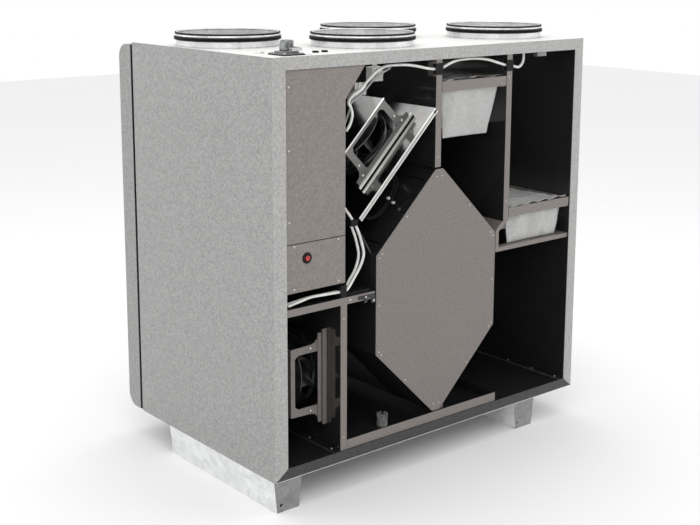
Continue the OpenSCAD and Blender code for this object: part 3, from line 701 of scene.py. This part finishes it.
class WheelSettings(bpy.types.PropertyGroup):
    blades: bpy.props.IntProperty(
        name="Blades", description="Blades of one fan wheel", default=7, min=5, max=11)
    sweep: bpy.props.FloatProperty(
        name="Sweep", description="Angle that a blade leans back over its length", default=math.radians(52),
        min=0, max=math.radians(80), subtype="ANGLE")


class CameraSettings(bpy.types.PropertyGroup):
    lens: bpy.props.FloatProperty(
        name="Lens", description="Focal length", default=62.4, min=20, max=200, unit="CAMERA")
    lift: bpy.props.FloatProperty(
        name="Shift", description="Vertical shift of the lens", default=-0.118, min=-0.5, max=0.5)


# ---------------------------------------------------------------- operators

class UNIT_OT_stage(bpy.types.Operator):
    """Floor, soft light and camera"""
    bl_idname = "unit.stage"
    bl_label = "Stage"

    def execute(self, context):
        scene = context.scene
        floor = new_object("Floor", [(-9, -9, -0.0005), (9, -9, -0.0005), (9, 9, -0.0005), (-9, 9, -0.0005)],
                           [(0, 1, 2, 3)])
        floor.data.materials.append(FINISHES["floor"])
        scene.view_settings.view_transform = "Standard"
        world = bpy.data.worlds.new("Studio")
        world.use_nodes = True
        back = world.node_tree.nodes["Background"]
        back.inputs["Color"].default_value = (1.0, 1.0, 1.0, 1.0)
        back.inputs["Strength"].default_value = 1.0
        scene.world = world
        centre = (CAD_BOX[0] + CAD_BOX[1]) / 2
        for name, place, size, power in (
                ("Key", (-2.2, -2.6, 2.6), 2.0, 22), ("Fill", (2.8, -2.2, 1.6), 2.4, 12),
                ("Overhead", (0.1, 0.3, 3.2), 2.6, 22), ("Back", (-2.6, 2.4, 1.9), 2.0, 12)):
            light = bpy.data.lights.new(name, "AREA")
            light.size, light.energy = size, power
            lamp = bpy.data.objects.new(name, light)
            lamp.location = place
            lamp.rotation_euler = (centre - Vector(place)).to_track_quat("-Z", "Y").to_euler()
            scene.collection.objects.link(lamp)
        settings = scene.unit_camera
        data = bpy.data.cameras.new("Camera")
        data.lens, data.sensor_width, data.shift_y = settings.lens, 36.0, settings.lift
        data.clip_start, data.clip_end = 0.05, 60.0
        camera = bpy.data.objects.new("Camera", data)
        turn, tilt, lean = (math.radians(degrees) for degrees in (-39.70, 10.58, 0.17))
        eye = (-2.0347, -2.4219, 1.2600)
        ahead = Vector((-math.sin(turn) * math.cos(tilt), math.cos(turn) * math.cos(tilt), -math.sin(tilt)))
        right = Vector((math.cos(turn), math.sin(turn), 0))
        over = right.cross(ahead)
        right, over = (right * math.cos(lean) + over * math.sin(lean),
                       over * math.cos(lean) - right * math.sin(lean))
        camera.matrix_world = Matrix((
            (right.x, over.x, -ahead.x, eye[0]), (right.y, over.y, -ahead.y, eye[1]),
            (right.z, over.z, -ahead.z, eye[2]), (0, 0, 0, 1)))
        scene.collection.objects.link(camera)
        scene.camera = camera
        return {"FINISHED"}


def second_finish(node, finish, chosen):
    """Gives a CAD node a second finish on the faces that a test picks."""
    mesh = NODES[node].data
    mesh.materials.append(FINISHES[finish])
    for face in mesh.polygons:
        face.material_index = 1 if chosen(face) else 0


class UNIT_OT_finishes(bpy.types.Operator):
    """Finishes of all the parts that come from the frame"""
    bl_idname = "unit.finishes"
    bl_label = "Finishes"

    plain = {
        "panel": "left_side_panel right_side_panel bottom_panel",
        "door": "rear_door",
        "top": "top_panel",
        "lining": "inner_lining",
        "trim": "front_frame",
        "foot": "left_foot right_foot",
        "galvanised": "exhaust_spigot supply_spigot extract_spigot outdoor_spigot",
        "rubber": "spigot_seals button_bezel cable_grommets",
        "wall": "lower_partition shelf_panel upper_partition filter_partition bypass_blade",
        "edge": "exchanger_bracket exhaust_fan_bracket filter_rails extract_filter_frame supply_filter_frame",
        "dark": "duct_wall baffle_plate floor_strips control_box bypass_channel",
        "bright": "fan_plate supply_fan_bracket",
        "motor": "supply_fan_motor exhaust_fan_motor",
        "inlet": "supply_fan_inlet exhaust_fan_inlet",
        "wheel": "supply_impeller exhaust_impeller",
        "tray": "condensate_tray",
        "drain": "drain_stubs",
        "cover": "lower_cover upper_cover",
        "board": "circuit_board",
        "button": "reset_button",
        "cable": "fan_cables sensor_cable",
        "cast": "plug_housing upper_lock lower_lock",
        "fixing": "locking_lever casing_screws door_fittings",
        "pale": "terminal_block pressure_switch",
        "core": "exchanger_core",
        "plate": "exchanger_plate",
        "cloth": "extract_filter_bags supply_filter_bags",
        "gasket": "door_gasket"}
    front = {"lower_partition": "edge", "shelf_panel": "edge", "upper_partition": "edge",
             # the supply fan bracket's front faces take the darker arm finish, painted shade
             "filter_partition": "edge", "condensate_tray": "edge", "supply_fan_bracket": "arm",
             # the feet's front faces take the darker galvanised finish, painted shade
             "left_foot": "foot_end", "right_foot": "foot_end"}

    def execute(self, context):
        for finish, nodes in self.plain.items():
            for node in nodes.split():
                materials = NODES[node].data.materials
                materials.clear()
                materials.append(FINISHES[finish])
        for node, finish in self.front.items():
            second_finish(node, finish, lambda face: face.normal.y < -0.9)
        # painted highlight: the floor strips' left-facing edges take the bright rim finish
        second_finish("floor_strips", "rim", lambda face: face.normal.x < -0.9)
        # painted highlight: the exchanger plate's edge faces take the lighter trim finish for the light
        # catching its edges
        second_finish("exchanger_plate", "trim", lambda face: face.normal.y >= -0.9)
        points, level = NODES["front_frame"].data.vertices, at(0, 0, 27).z
        second_finish("front_frame", "sill", lambda face: face.center.z < level
                      and all(points[v].co.z < level + 0.0005 for v in face.vertices))
        return {"FINISHED"}


class UNIT_OT_seals(bpy.types.Operator):
    """Rubber lips and rolled beads of the duct spigots"""
    bl_idname = "unit.seals"
    bl_label = "Spigot seals"

    def execute(self, context):
        lips, beads = [], []
        for node in ("exhaust_spigot", "supply_spigot", "extract_spigot", "outdoor_spigot"):
            low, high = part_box(node)
            place = Matrix.Translation(((low.x + high.x) / 2, (low.y + high.y) / 2, high.z))
            r = SPIGOT_R
            lower = [(r - 0.2, -19), (r + 1.2, -19), (r + 4.8, -17.4), (r + 5.2, -16), (r + 4.2, -15.2),
                     (r + 2.2, -15.2), (r + 2.0, -14.2), (r + 4.6, -13), (r + 5.0, -11.6), (r + 4.0, -10.8),
                     (r + 1.6, -10.6), (r - 0.2, -10.4)]
            upper = [(r - 1.4, -3.6), (r + 2.2, -3.6), (r + 2.8, -2.4), (r + 2.4, -0.9), (r + 1.2, -0.1),
                     (r - 0.8, -0.1), (r - 1.6, -1.2)]
            bead = [(r - 0.3, -10.2)] + [(r + 0.4 + 3.4 * math.sin(a), -7.0 - 3.1 * math.cos(a))
                                         for a in (math.pi * k / 8 for k in range(9))] + [(r - 0.3, -3.8)]
            lips += [round_part(node + "_lip", lower, place, 96), round_part(node + "_rim", upper, place, 96)]
            beads.append(round_part(node + "_bead", bead, place, 96))
        put(joined("Spigot_lips", lips), "casing", "rubber", "seal_rubber", "spigot_seals")
        put(joined("Spigot_beads", beads), "casing", "bead", "galvanised")
        return {"FINISHED"}


class UNIT_OT_wheels(bpy.types.Operator):
    """Fan wheels with curved blades"""
    bl_idname = "unit.wheels"
    bl_label = "Fan wheels"

    def execute(self, context):
        settings = context.scene.unit_wheels
        for title, side in (("Supply_wheel", "supply"), ("Exhaust_wheel", "exhaust")):
            place = wheel_place(side + "_fan_spin")
            hub = rounded([(6.2, 42.5), (43, 42.5), (45.5, 58), (62, 60), (97, 58), (99.6, 59), (99.8, 62.4),
                           (92, 64), (80, 69), (70, 79), (60, 87.6), (44, 91.4), (6.2, 91.8)], 7.0, 8)
            shroud = rounded([(80.4, 8.4), (82.4, 8.2), (83.4, 15), (90, 19.4), (97.6, 20.6), (97.8, 22.4),
                              (89, 21.4), (82, 17.6)], 1.4, 4)
            parts = [round_part(title + "_hub", hub, Matrix.Identity(4), 96),
                     round_part(title + "_shroud", shroud, Matrix.Identity(4), 96)]
            steps, half = 14, 0.9
            rows = []
            for face in (1, -1):
                for level in (60.5, 20.5):
                    row = []
                    for k in range(steps + 1):
                        t = k / steps
                        radius = 42 + (96 - 42) * t
                        turn = -settings.sweep * t * (1.25 - 0.25 * t)
                        nearer = half * (1 - 0.45 * abs(2 * t - 1) ** 3)
                        row.append((radius * MM * math.cos(turn) - face * nearer * MM * math.sin(turn - 0.7),
                                    radius * MM * math.sin(turn) + face * nearer * MM * math.cos(turn - 0.7),
                                    (level + (3.5 * (1 - t) if level < 30 else 0)) * MM))
                    rows.append(row)
            n = steps + 1
            points = [p for row in rows for p in row]
            faces = []
            for k in range(steps):
                faces += [(k, k + 1, n + k + 1, n + k), (2 * n + k + 1, 2 * n + k, 3 * n + k, 3 * n + k + 1),
                          (k + 1, k, 2 * n + k, 2 * n + k + 1), (n + k, n + k + 1, 3 * n + k + 1, 3 * n + k)]
            faces += [(0, n, 3 * n, 2 * n), (n - 1, 3 * n - 1, 4 * n - 1, 2 * n - 1)]
            blade = new_object(title + "_blade", points, faces)
            outward(blade)
            ring = grown(title + "_blades", blade, TREES["ring"], Count=settings.blades,
                         Finish=FINISHES["wheel"])
            wheel = joined(title, parts + [ring])
            wheel.data.transform(place)
            put(wheel, side + "_wheel", "wheel", "fan_plastic", side + "_impeller")
        return {"FINISHED"}


def pocket_sheet(lo, hi, count, fullness, seed):
    """Open-topped pockets side by side along y, narrower towards their ends: points and faces."""
    nu, nv, taper = 26, 18, 0.32
    points, faces = [], []
    pitch = (hi.y - lo.y) / count
    drop = hi.z - lo.z
    for k in range(count):
        middle = lo.y + pitch * (k + 0.5)
        if k == 0:
            middle = lo.y + 0.012
        for side in (-1, 1):
            base = len(points)
            for j in range(nv + 1):
                v = j / nv
                left = lo.x + 0.002 + (0.3 * taper * drop) * v
                right = hi.x - 0.001 - (taper * drop) * v
                for i in range(nu + 1):
                    u = i / nu
                    swell = (1 - abs(2 * u - 1) ** 5) * (1 - v ** 4) ** 0.5 * (1 - 0.55 * v)
                    ripple = noise.noise(Vector((u * 5 + seed, v * 3, k * 1.7 + side))) * 0.0035 * v
                    fold = math.sin(u * 19 + k) * 0.0012 * (1 - v) * swell
                    thick = fullness * swell * (0.3 if k == 0 and side < 0 else 1.0)
                    y = middle + side * thick + (ripple + fold) * (swell > 0)
                    points.append((left + (right - left) * u, y, hi.z - 0.002 - drop * 0.985 * v))
            for j in range(nv):
                for i in range(nu):
                    a = base + j * (nu + 1) + i
                    quad = (a, a + 1, a + nu + 2, a + nu + 1)
                    faces.append(quad if side > 0 else quad[::-1])
    return points, faces


def settle(piece, pinned, slack, reach):
    """Lets the cloth hang with some slack and keeps it within reach of its cut shape."""
    group = piece.vertex_groups.new(name="held")
    group.add(pinned, 1.0, "REPLACE")
    rest = np.array([v.co for v in piece.data.vertices])
    modifier = piece.modifiers.new("Hang", "CLOTH")
    cloth = modifier.settings
    cloth.quality, cloth.mass, cloth.air_damping = 6, 0.12, 4.0
    cloth.tension_stiffness = cloth.compression_stiffness = 12.0
    cloth.shear_stiffness, cloth.bending_stiffness = 6.0, 1.6
    cloth.vertex_group_mass = "held"
    cloth.shrink_min = -slack
    cloth.use_pressure, cloth.uniform_pressure_force = True, 0.35
    modifier.collision_settings.use_collision = False
    scene = bpy.context.scene
    for number in range(1, HANG_FRAMES + 1):
        scene.frame_set(number)
    graph = bpy.context.evaluated_depsgraph_get()
    settled = np.array([v.co for v in piece.evaluated_get(graph).data.vertices])
    piece.modifiers.remove(modifier)
    scene.frame_set(1)
    moved = np.clip(settled - rest, -np.array(reach), np.array(reach))
    for v, p in zip(piece.data.vertices, rest + moved):
        v.co = p


class UNIT_OT_filters(bpy.types.Operator):
    """Sewn cloth pockets and the cloth's collar in the header of each filter"""
    bl_idname = "unit.filters"
    bl_label = "Filter cloth"

    def execute(self, context):
        settings = context.scene.unit_cloth
        for title, frame_node, node, body, seed, slack in (
                ("Extract_filter", "extract_filter_frame", "extract_filter_bags", "extract_filter", 2.0, 0.4),
                ("Supply_filter", "supply_filter_frame", "supply_filter_bags", "supply_filter", 9.0, 1.3)):
            lo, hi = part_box(node)
            points, faces = pocket_sheet(lo, hi, settings.pockets, settings.fullness, seed)
            bags = new_object(title + "_pockets", points, faces)
            work = bmesh.new()
            work.from_mesh(bags.data)
            bmesh.ops.remove_doubles(work, verts=work.verts, dist=2e-5)
            work.to_mesh(bags.data)
            work.free()
            top = hi.z - 0.003
            pinned = [v.index for v in bags.data.vertices if v.co.z > top]
            settle(bags, pinned, settings.slack * slack, (0.0025, 0.012, 0.004))
            smoother = bags.modifiers.new("Smooth", "SUBSURF")
            smoother.levels = smoother.render_levels = 1
            graph = bpy.context.evaluated_depsgraph_get()
            mesh = bpy.data.meshes.new_from_object(bags.evaluated_get(graph), depsgraph=graph)
            bags.modifiers.clear()
            bags.data = mesh
            bags.vertex_groups.clear()
            mesh.shade_smooth()
            put(bags, body, "cloth", "filter_cloth", node)
            collar = self.collar(title, frame_node, settings.pockets, seed)
            put(collar, body, "cloth", "filter_cloth")
        return {"FINISHED"}

    def collar(self, title, frame_node, count, seed):
        """Cloth gathered round the pockets' mouths, higher and crumpled at the front."""
        lo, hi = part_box(frame_node)
        nu, nv = 60, 150
        length = hi.y - lo.y - 0.011
        points = []
        for j in range(nv + 1):
            v = j / nv
            y = lo.y + 0.0055 + length * v
            groove = 0.5 - 0.5 * math.cos(2 * math.pi * (v * count))
            for i in range(nu + 1):
                u = i / nu
                x = lo.x + 0.004 + (hi.x - lo.x - 0.008) * u
                edge = 1 - abs(2 * u - 1) ** 8
                crumple = noise.noise(Vector((u * 4.2 + seed, v * 26, seed))) \
                    + 0.5 * noise.noise(Vector((u * 11, v * 60 + seed, 3.1)))
                near = math.exp(-v * 9)
                z = hi.z - 0.008 - 0.016 * groove * edge * (1 - 0.7 * near)
                z += crumple * 0.0045 + near * (0.0105 + 0.009 * noise.noise(Vector((u * 6 + seed, 0.3, 1))))
                points.append((x, y, min(z, hi.z + 0.012)))
        faces = [(j * (nu + 1) + i, j * (nu + 1) + i + 1, (j + 1) * (nu + 1) + i + 1, (j + 1) * (nu + 1) + i)
                 for j in range(nv) for i in range(nu)]
        return new_object(title + "_collar", points, faces)


class UNIT_OT_cables(bpy.types.Operator):
    """Round cables, the wires at the terminals and the switch's lead"""
    bl_idname = "unit.cables"
    bl_label = "Cables"

    fan = [(48, 12, 407), (62, 13, 409), (85, 12, 413), (113, 12, 417), (157, 11, 416), (196, 9, 415),
           (214, 9, 416), (226, 11, 424), (241, 13, 440), (256, 14, 458), (267, 14, 477), (271, 14, 496),
           (265, 14, 520), (256, 13, 543), (247, 12, 561), (240, 12, 573)]
    lead = [(44, 22, 408), (70, 22, 410), (110, 21, 414), (160, 20, 414), (196, 17, 415), (218, 18, 419),
            (232, 20, 434), (247, 20, 453), (258, 21, 474), (261, 21, 495), (256, 21, 518), (248, 20, 541),
            (237, 17, 561), (232, 15, 573)]
    motor = [(222, 30, 612), (226, 26, 602), (231, 19, 591), (235, 13, 580)]
    sensor = [(225, 24, 786), (234, 21, 801), (240, 20, 822), (236, 20, 839), (229, 20, 853), (242, 20, 867),
              (266, 20, 879), (285, 20, 897), (304, 20, 912), (322, 20, 923), (341, 18, 929), (367, 15, 930),
              (396, 9, 929), (429, 8, 924), (462, 8, 917), (487, 9, 914), (506, 9, 914), (540, 9, 926),
              (567, 11, 931), (600, 14, 932), (638, 14, 931), (674, 12, 926), (706, 9, 917), (732, 9, 910),
              (751, 9, 908), (768, 10, 904), (781, 11, 902), (792, 12, 906), (799, 12, 915), (802, 13, 925),
              (803, 14, 936)]

    def execute(self, context):
        low = joined("Fan_cables", [tube("cable", route, CABLE_R)
                                    for route in (self.fan, self.lead, self.motor)])
        put(low, "casing", "cable", "cable_sheath", "fan_cables")
        put(tube("Sensor_cable", self.sensor, CABLE_R), "casing", "cable", "cable_sheath", "sensor_cable")
        wires = []
        for k in range(4):
            x = 262 + 9 * k
            wires.append(tube("wire", [(230 + 2 * k, 26, 858 - 6 * k), (238 + 3 * k, 28, 868 - 4 * k),
                                       (250 + 5 * k, 31, 872), (x, 33.5, 878 + 2 * k)], 1.5, 8, 6))
        put(joined("Terminal_wires", wires), "casing", "grey_cable", "cable_sheath")
        second = [(228, 33, 800), (238, 31, 826), (246, 31, 848), (262, 31, 858), (284, 31, 872),
                  (306, 31, 892), (330, 31, 908), (352, 31, 917), (372, 40, 921), (380, 62, 921),
                  (384, 80, 914)]
        put(tube("Switch_lead", second, 2.4), "casing", "grey_cable", "cable_sheath")
        return {"FINISHED"}


class UNIT_OT_fixings(bpy.types.Operator):
    """Screws, studs and weld spots"""
    bl_idname = "unit.fixings"
    bl_label = "Fixings"

    def execute(self, context):
        covers = [((x, 4, z), FRONT) for x, z in ((60, 543), (186, 543), (187, 445), (60, 445))]
        covers += [((47, 4, z), FRONT) for z in (600, 760, 900)]
        covers += [((x, 3, 392.5), FRONT) for x in (222, 283)]
        made = fixings("Cover_screws", "casing", covers, 3.0, 1.7, 1.1)
        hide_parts("casing_screws")
        strips = [((x, y, 29), UP) for x in (184, 981) for y in (25, 110, 200, 330, 470)]
        strips += [((44, y, 29), UP) for y in (40, 200, 400)]
        fixings("Strip_screws", "casing", strips, 3.0, 1.8, 1.1)
        top, side, low = 666, 483, 56
        plate = [((PLATE_MIDDLE + x, 6, z), FRONT) for z in (top - 14, low + 14) for x in (-9, 9)]
        for x, inward in ((305, 1), (707, -1)):
            plate += [((x + inward * 9, 6, z), FRONT) for z in (side - 6, 361, 245)]
            plate += [((x + inward * 17, 6, z), FRONT) for z in (side + 3, 236)]
        plate += [((PLATE_MIDDLE + s * 106, 6, 361 + t * 205), FRONT) for s in (-1, 1) for t in (-1, 1)]
        fixings("Plate_screws", "exchanger", plate, 2.2, 1.0, 0.8)
        for title, name in (("Supply", "supply_fan_spin"), ("Exhaust", "exhaust_fan_spin")):
            place, origin = wheel_place(name), at(0, 0, 0)
            spots = []
            for u, w in ((-77, 46), (77, 46), (-86, 20), (86, 20)):
                spots.append(((place @ (Vector((u, -114, w)) * MM) - origin) / MM, FRONT))
            fixings(title + "_bracket_screws", "casing", spots, 4.2, 2.6, 1.5)
            out = (place.to_3x3() @ Vector((0, 0, 1))).normalized()
            welds = [((place @ (Vector((u, -139, 0.1)) * MM) - origin) / MM, out) for u in (-72, 66)]
            if title == "Supply":
                fixings("Plate_welds", "casing", welds, 6.0, 0.35, 3.6, "arm", "galvanised")
        sides = [((x, 3, z), FRONT)
                 for x, z in ((741.5, 560), (741.5, 880), (496.5, 700), (202.5, 60), (202.5, 350))]
        fixings("Partition_screws", "casing", sides, 2.1, 1.0, 0.8)
        return {"FINISHED"}


class UNIT_OT_plug(bpy.types.Operator):
    """Die-cast plug housing and the small plates on the top"""
    bl_idname = "unit.plug"
    bl_label = "Plug"

    def execute(self, context):
        x, y, z = *PLUG_AT, CASING_TOP
        pad = bevelled("Plug_gasket", (x - 29.5, y - 30.5, z + 0.02), (x + 29.5, y + 30.5, z + 2.2), 0.8)
        put(pad, "casing", "rubber", "seal_rubber")
        base = bevelled("base", (x - 28, y - 29, z + 1.8), (x + 28, y + 29, z + 4.6), 1.2)
        step = bevelled("step", (x - 22, y - 17, z + 4), (x + 22, y + 17, z + 9), 1.6)
        hood = bevelled("hood", (x - 12, y - 13, z + 8), (x + 12, y + 13, z + 33), 5.0, 5)
        for v in hood.data.vertices:
            lift = (v.co.z - at(0, 0, z + 8).z) / 0.025
            v.co.x += 0.0035 * max(lift - 0.3, 0) * (1 if v.co.x < at(x, 0, 0).x else 0)
        gland = round_part("gland", [(4.2, 0), (8.6, 0), (8.8, 1.8), (7.2, 2.6), (4.2, 2.6)],
                           Matrix.Translation(at(x, y - 12.6, z + 21)) @ looking(FRONT), 32)
        ears = [round_part("ear", rounded([(0.01, -2.6), (2.5, -2.6), (2.5, 2.6), (0.01, 2.6)], 0.4, 2),
                           Matrix.Translation(at(x, y + s * 15, z + 12)) @ looking(FRONT), 24)
                for s in (-1, 1)]
        cheeks = [bevelled("cheek", (x - 5, y + s * 13.2 - 0.8, z + 8),
                           (x + 5, y + s * 13.2 + 0.8, z + 17), 0.6) for s in (-1, 1)]
        put(joined("Plug_housing", [base, step, hood, gland] + ears + cheeks), "casing", "cast", "die_cast",
            "plug_housing")
        corners = [((x + a, y + b, z + 4.6), UP) for a in (-23, 23) for b in (-24, 24)]
        fixings("Plug_screws", "casing", corners, 2.6, 1.7, 1.0)
        small = bevelled("small", (104, 15, z + 0.02), (122, 30, z + 1.6), 0.5)
        strip = bevelled("strip", (45, 104, z + 0.02), (57, 127, z + 4.5), 1.0)
        put(joined("Top_plates", [small, strip]), "casing", "galvanised", "galvanised")
        return {"FINISHED"}


class UNIT_OT_details(bpy.types.Operator):
    """Stack of plates, brackets' folds, actuator and connectors, small clips"""
    bl_idname = "unit.details"
    bl_label = "Details"

    def execute(self, context):
        lo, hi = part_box("exchanger_core")
        inset = 0.0015
        centre = Vector(((lo.x + hi.x) / 2, 0, (lo.z + hi.z) / 2))
        half = Vector(((hi.x - lo.x) / 2, 0, (hi.z - lo.z) / 2))
        tip, side = 0.012, 0.122
        ring = [(-tip, -half.z), (tip, -half.z), (half.x, -side), (half.x, side), (tip, half.z),
                (-tip, half.z), (-half.x, side), (-half.x, -side)]
        points = []
        for y in (0.0, 0.0012):
            for scale in (-inset * 2, inset * 0.3):
                points += [(centre.x + px * (1 + scale / half.x), lo.y + 0.004 + y,
                            centre.z + pz * (1 + scale / half.z)) for px, pz in ring]
        n = len(ring)
        faces = []
        for k in range(n):
            m = (k + 1) % n
            a, b, c, d = (base * n for base in range(4))
            faces += [(a + k, a + m, b + m, b + k), (c + m, c + k, d + k, d + m),
                      (b + k, b + m, d + m, d + k), (a + m, a + k, c + k, c + m)]
        plate = new_object("one_plate", points, faces, False)
        outward(plate)
        depth = hi.y - lo.y - 0.008
        count = 100
        stack = grown("Plate_stack", plate, TREES["fins"], Count=count, Pitch=depth / count,
                      Finish=FINISHES["core"])
        put(stack, "exchanger", "core", "core_plastic")
        self.brackets()
        self.electrics()
        self.small_sheet()
        return {"FINISHED"}

    def brackets(self):
        """Folded feet and edges of the two fan brackets, with painted highlights on the fold edges and
        painted shadow lines along the folds.
        """
        upper, lower = wheel_place("supply_fan_spin"), wheel_place("exhaust_fan_spin")
        # painted highlight: thin bright strips along the folded edges of the brackets and the plate
        bright = [bevelled("foot", (-116, -117.5, 3.4), (118, -114.2, 11.5), 1.0, 2, upper),
                  bevelled("edge", (-85, -116.4, 100.6), (85, -114.1, 104.6), 0.8, 2, upper),
                  bevelled("fold", (-188, -169.6, -2.6), (149, -168.8, 0.4), 0.3, 2, upper),
                  bevelled("hem", (-188, -169.6, -11.6), (149, -168.8, -9.6), 0.3, 2, upper)]
        put(joined("Bracket_rims", bright), "casing", "rim", "bright_sheet")
        # painted shadow: black strips where the folds cast their shadow lines
        dark = [bevelled("gap", (-116, -116.6, 0.4), (118, -114.3, 3.2), 0.3, 2, upper),
                bevelled("seam", (-112, -116.4, 13.2), (112, -114.3, 15.0), 0.3, 2, lower)]
        put(joined("Bracket_gaps", dark), "casing", "rubber", "dark_metal")
        warm = [bevelled("flange", (-118, -119, 0.4), (118, -114.3, 13), 0.8, 2, lower),
                bevelled("fold", (-110, -117, 15.2), (110, -114.2, 26), 0.8, 2, lower)]
        put(joined("Bracket_foot", warm), "casing", "edge", "galvanised")

    def electrics(self):
        """Damper actuator with its leads under the fan plate, plug connectors and the switch's cap."""
        place = wheel_place("supply_fan_spin")
        body = [bevelled("case", (-138, -134, -27), (-40, -84, -3), 4.0, 4, place),
                bevelled("lid", (-128, -137, -25), (-62, -133.5, -6), 1.5, 2, place)]
        put(joined("Damper_actuator", body), "casing", "motor", "fan_plastic")
        bar = bevelled("Actuator_bar", (-136, -141, -34), (-48, -135, -27.5), 1.6, 3, place)
        put(bar, "casing", "edge", "galvanised")
        loops = []
        for reach, deep in ((0, 0), (7, 9), (15, 4)):
            loops.append(tube("loop", [(383 + reach, 50 + deep, 664), (398 + reach, 52 + deep, 646),
                                       (396 + reach, 54 + deep, 622), (380 + reach, 56 + deep, 596),
                                       (354 + reach, 58 + deep, 570), (330 + reach, 62 + deep, 560),
                                       (316 + reach, 70 + deep, 568)], 2.0, 8, 6))
        put(joined("Actuator_leads", loops), "casing", "rubber", "cable_sheath")
        plugs = [bevelled("plug", (x, 50, z), (x + 7, 57, z + 6), 1.2, 2)
                 for x, z in ((382, 664), (378, 603), (394, 590))]
        put(joined("Lead_plugs", plugs), "casing", "pale", "pale_plastic")
        frames = []
        for k in range(3):
            x = 257.5 + k * 12
            frames += [bevelled("post", (x, 31.8, 865), (x + 1.6, 35, 893), 0.4, 2),
                       bevelled("post", (x + 8.4, 31.8, 865), (x + 10, 35, 893), 0.4, 2),
                       bevelled("rail", (x, 31.8, 865), (x + 10, 35, 867), 0.4, 2),
                       bevelled("rail", (x, 31.8, 891), (x + 10, 35, 893), 0.4, 2)]
        put(joined("Connector_frames", frames), "casing", "cable", "pale_plastic")
        outline = rounded([(0.01, -1), (9, -1), (9, 2.6), (6.5, 3.6), (2.6, 3.6), (2.6, 1.6), (0.01, 1.6)],
                          0.6, 3)
        cap = round_part("Switch_cap", outline, Matrix.Translation(at(385, 91.6, 901)) @ looking(FRONT), 40)
        put(cap, "casing", "pale", "pale_plastic")

    def small_sheet(self):
        """Lip of the sill, made bright as a painted highlight, the shelf's end clip and the clip under the
        top sheet.
        """
        # painted highlight: a thin bright strip along the sill's lower edge
        lip = [bevelled("lip", (3, -0.02, 0.1), (1017, 1.4, 1.8), 0.3, 2)]
        put(joined("Sill_lip", lip), "casing", "rim", "galvanised")
        clip = [bevelled("clip", (246, 0.6, 388), (296, 2.9, 396), 0.6, 2),
                bevelled("hook", (284, 0.2, 374), (297, 2.9, 388.5), 0.8, 2),
                bevelled("tab", (262, 0.4, 378), (272, 2.9, 388.5), 0.8, 2)]
        put(joined("Shelf_clip", clip), "casing", "dark", "dark_metal")
        fixings("Shelf_studs", "casing", [((291, 0.4, 380), FRONT), ((267, 0.5, 392), FRONT)], 3.2, 2.4, 1.2)
        hung = [bevelled("hung", (850, 8, 925.5), (884, 22, 936.8), 1.0, 2)]
        # the clip under the top sheet takes the darker finish of the foot ends
        put(joined("Top_clip", hung), "casing", "foot_end", "galvanised")


class UNIT_PT_panel(bpy.types.Panel):
    """The unit's pieces and sizes"""
    bl_idname = "UNIT_PT_panel"
    bl_label = "Heat recovery unit"
    bl_space_type = "VIEW_3D"
    bl_region_type = "UI"
    bl_category = "Unit"

    def draw(self, context):
        layout, scene = self.layout, context.scene
        for settings, names in ((scene.unit_look, ("panel_colour", "lit_top_colour", "plate_colour")),
                                (scene.unit_cloth, ("pockets", "fullness", "slack")),
                                (scene.unit_wheels, ("blades", "sweep")),
                                (scene.unit_camera, ("lens", "lift"))):
            column = layout.column(align=True)
            for name in names:
                column.prop(settings, name)
        for operator in OPERATORS:
            layout.operator(operator.bl_idname)


OPERATORS = (UNIT_OT_stage, UNIT_OT_finishes, UNIT_OT_seals, UNIT_OT_wheels, UNIT_OT_filters, UNIT_OT_cables,
             UNIT_OT_fixings, UNIT_OT_plug, UNIT_OT_details)
CLASSES = (LookSettings, ClothSettings, WheelSettings, CameraSettings) + OPERATORS + (UNIT_PT_panel,)


def register():
    for cls in CLASSES:
        bpy.utils.register_class(cls)
    scene = bpy.types.Scene
    scene.unit_look = bpy.props.PointerProperty(type=LookSettings)
    scene.unit_cloth = bpy.props.PointerProperty(type=ClothSettings)
    scene.unit_wheels = bpy.props.PointerProperty(type=WheelSettings)
    scene.unit_camera = bpy.props.PointerProperty(type=CameraSettings)


def unregister():
    scene = bpy.types.Scene
    for name in ("unit_look", "unit_cloth", "unit_wheels", "unit_camera"):
        delattr(scene, name)
    for cls in reversed(CLASSES):
        bpy.utils.unregister_class(cls)


def main():
    register()
    make_finishes(bpy.context.scene.unit_look)
    TREES.update(fixings=fixings_tree(), ring=ring_tree(), fins=fins_tree())
    for operator in OPERATORS:
        category, name = operator.bl_idname.split(".")
        getattr(getattr(bpy.ops, category), name)()


if __name__ == "__main__":
    main()
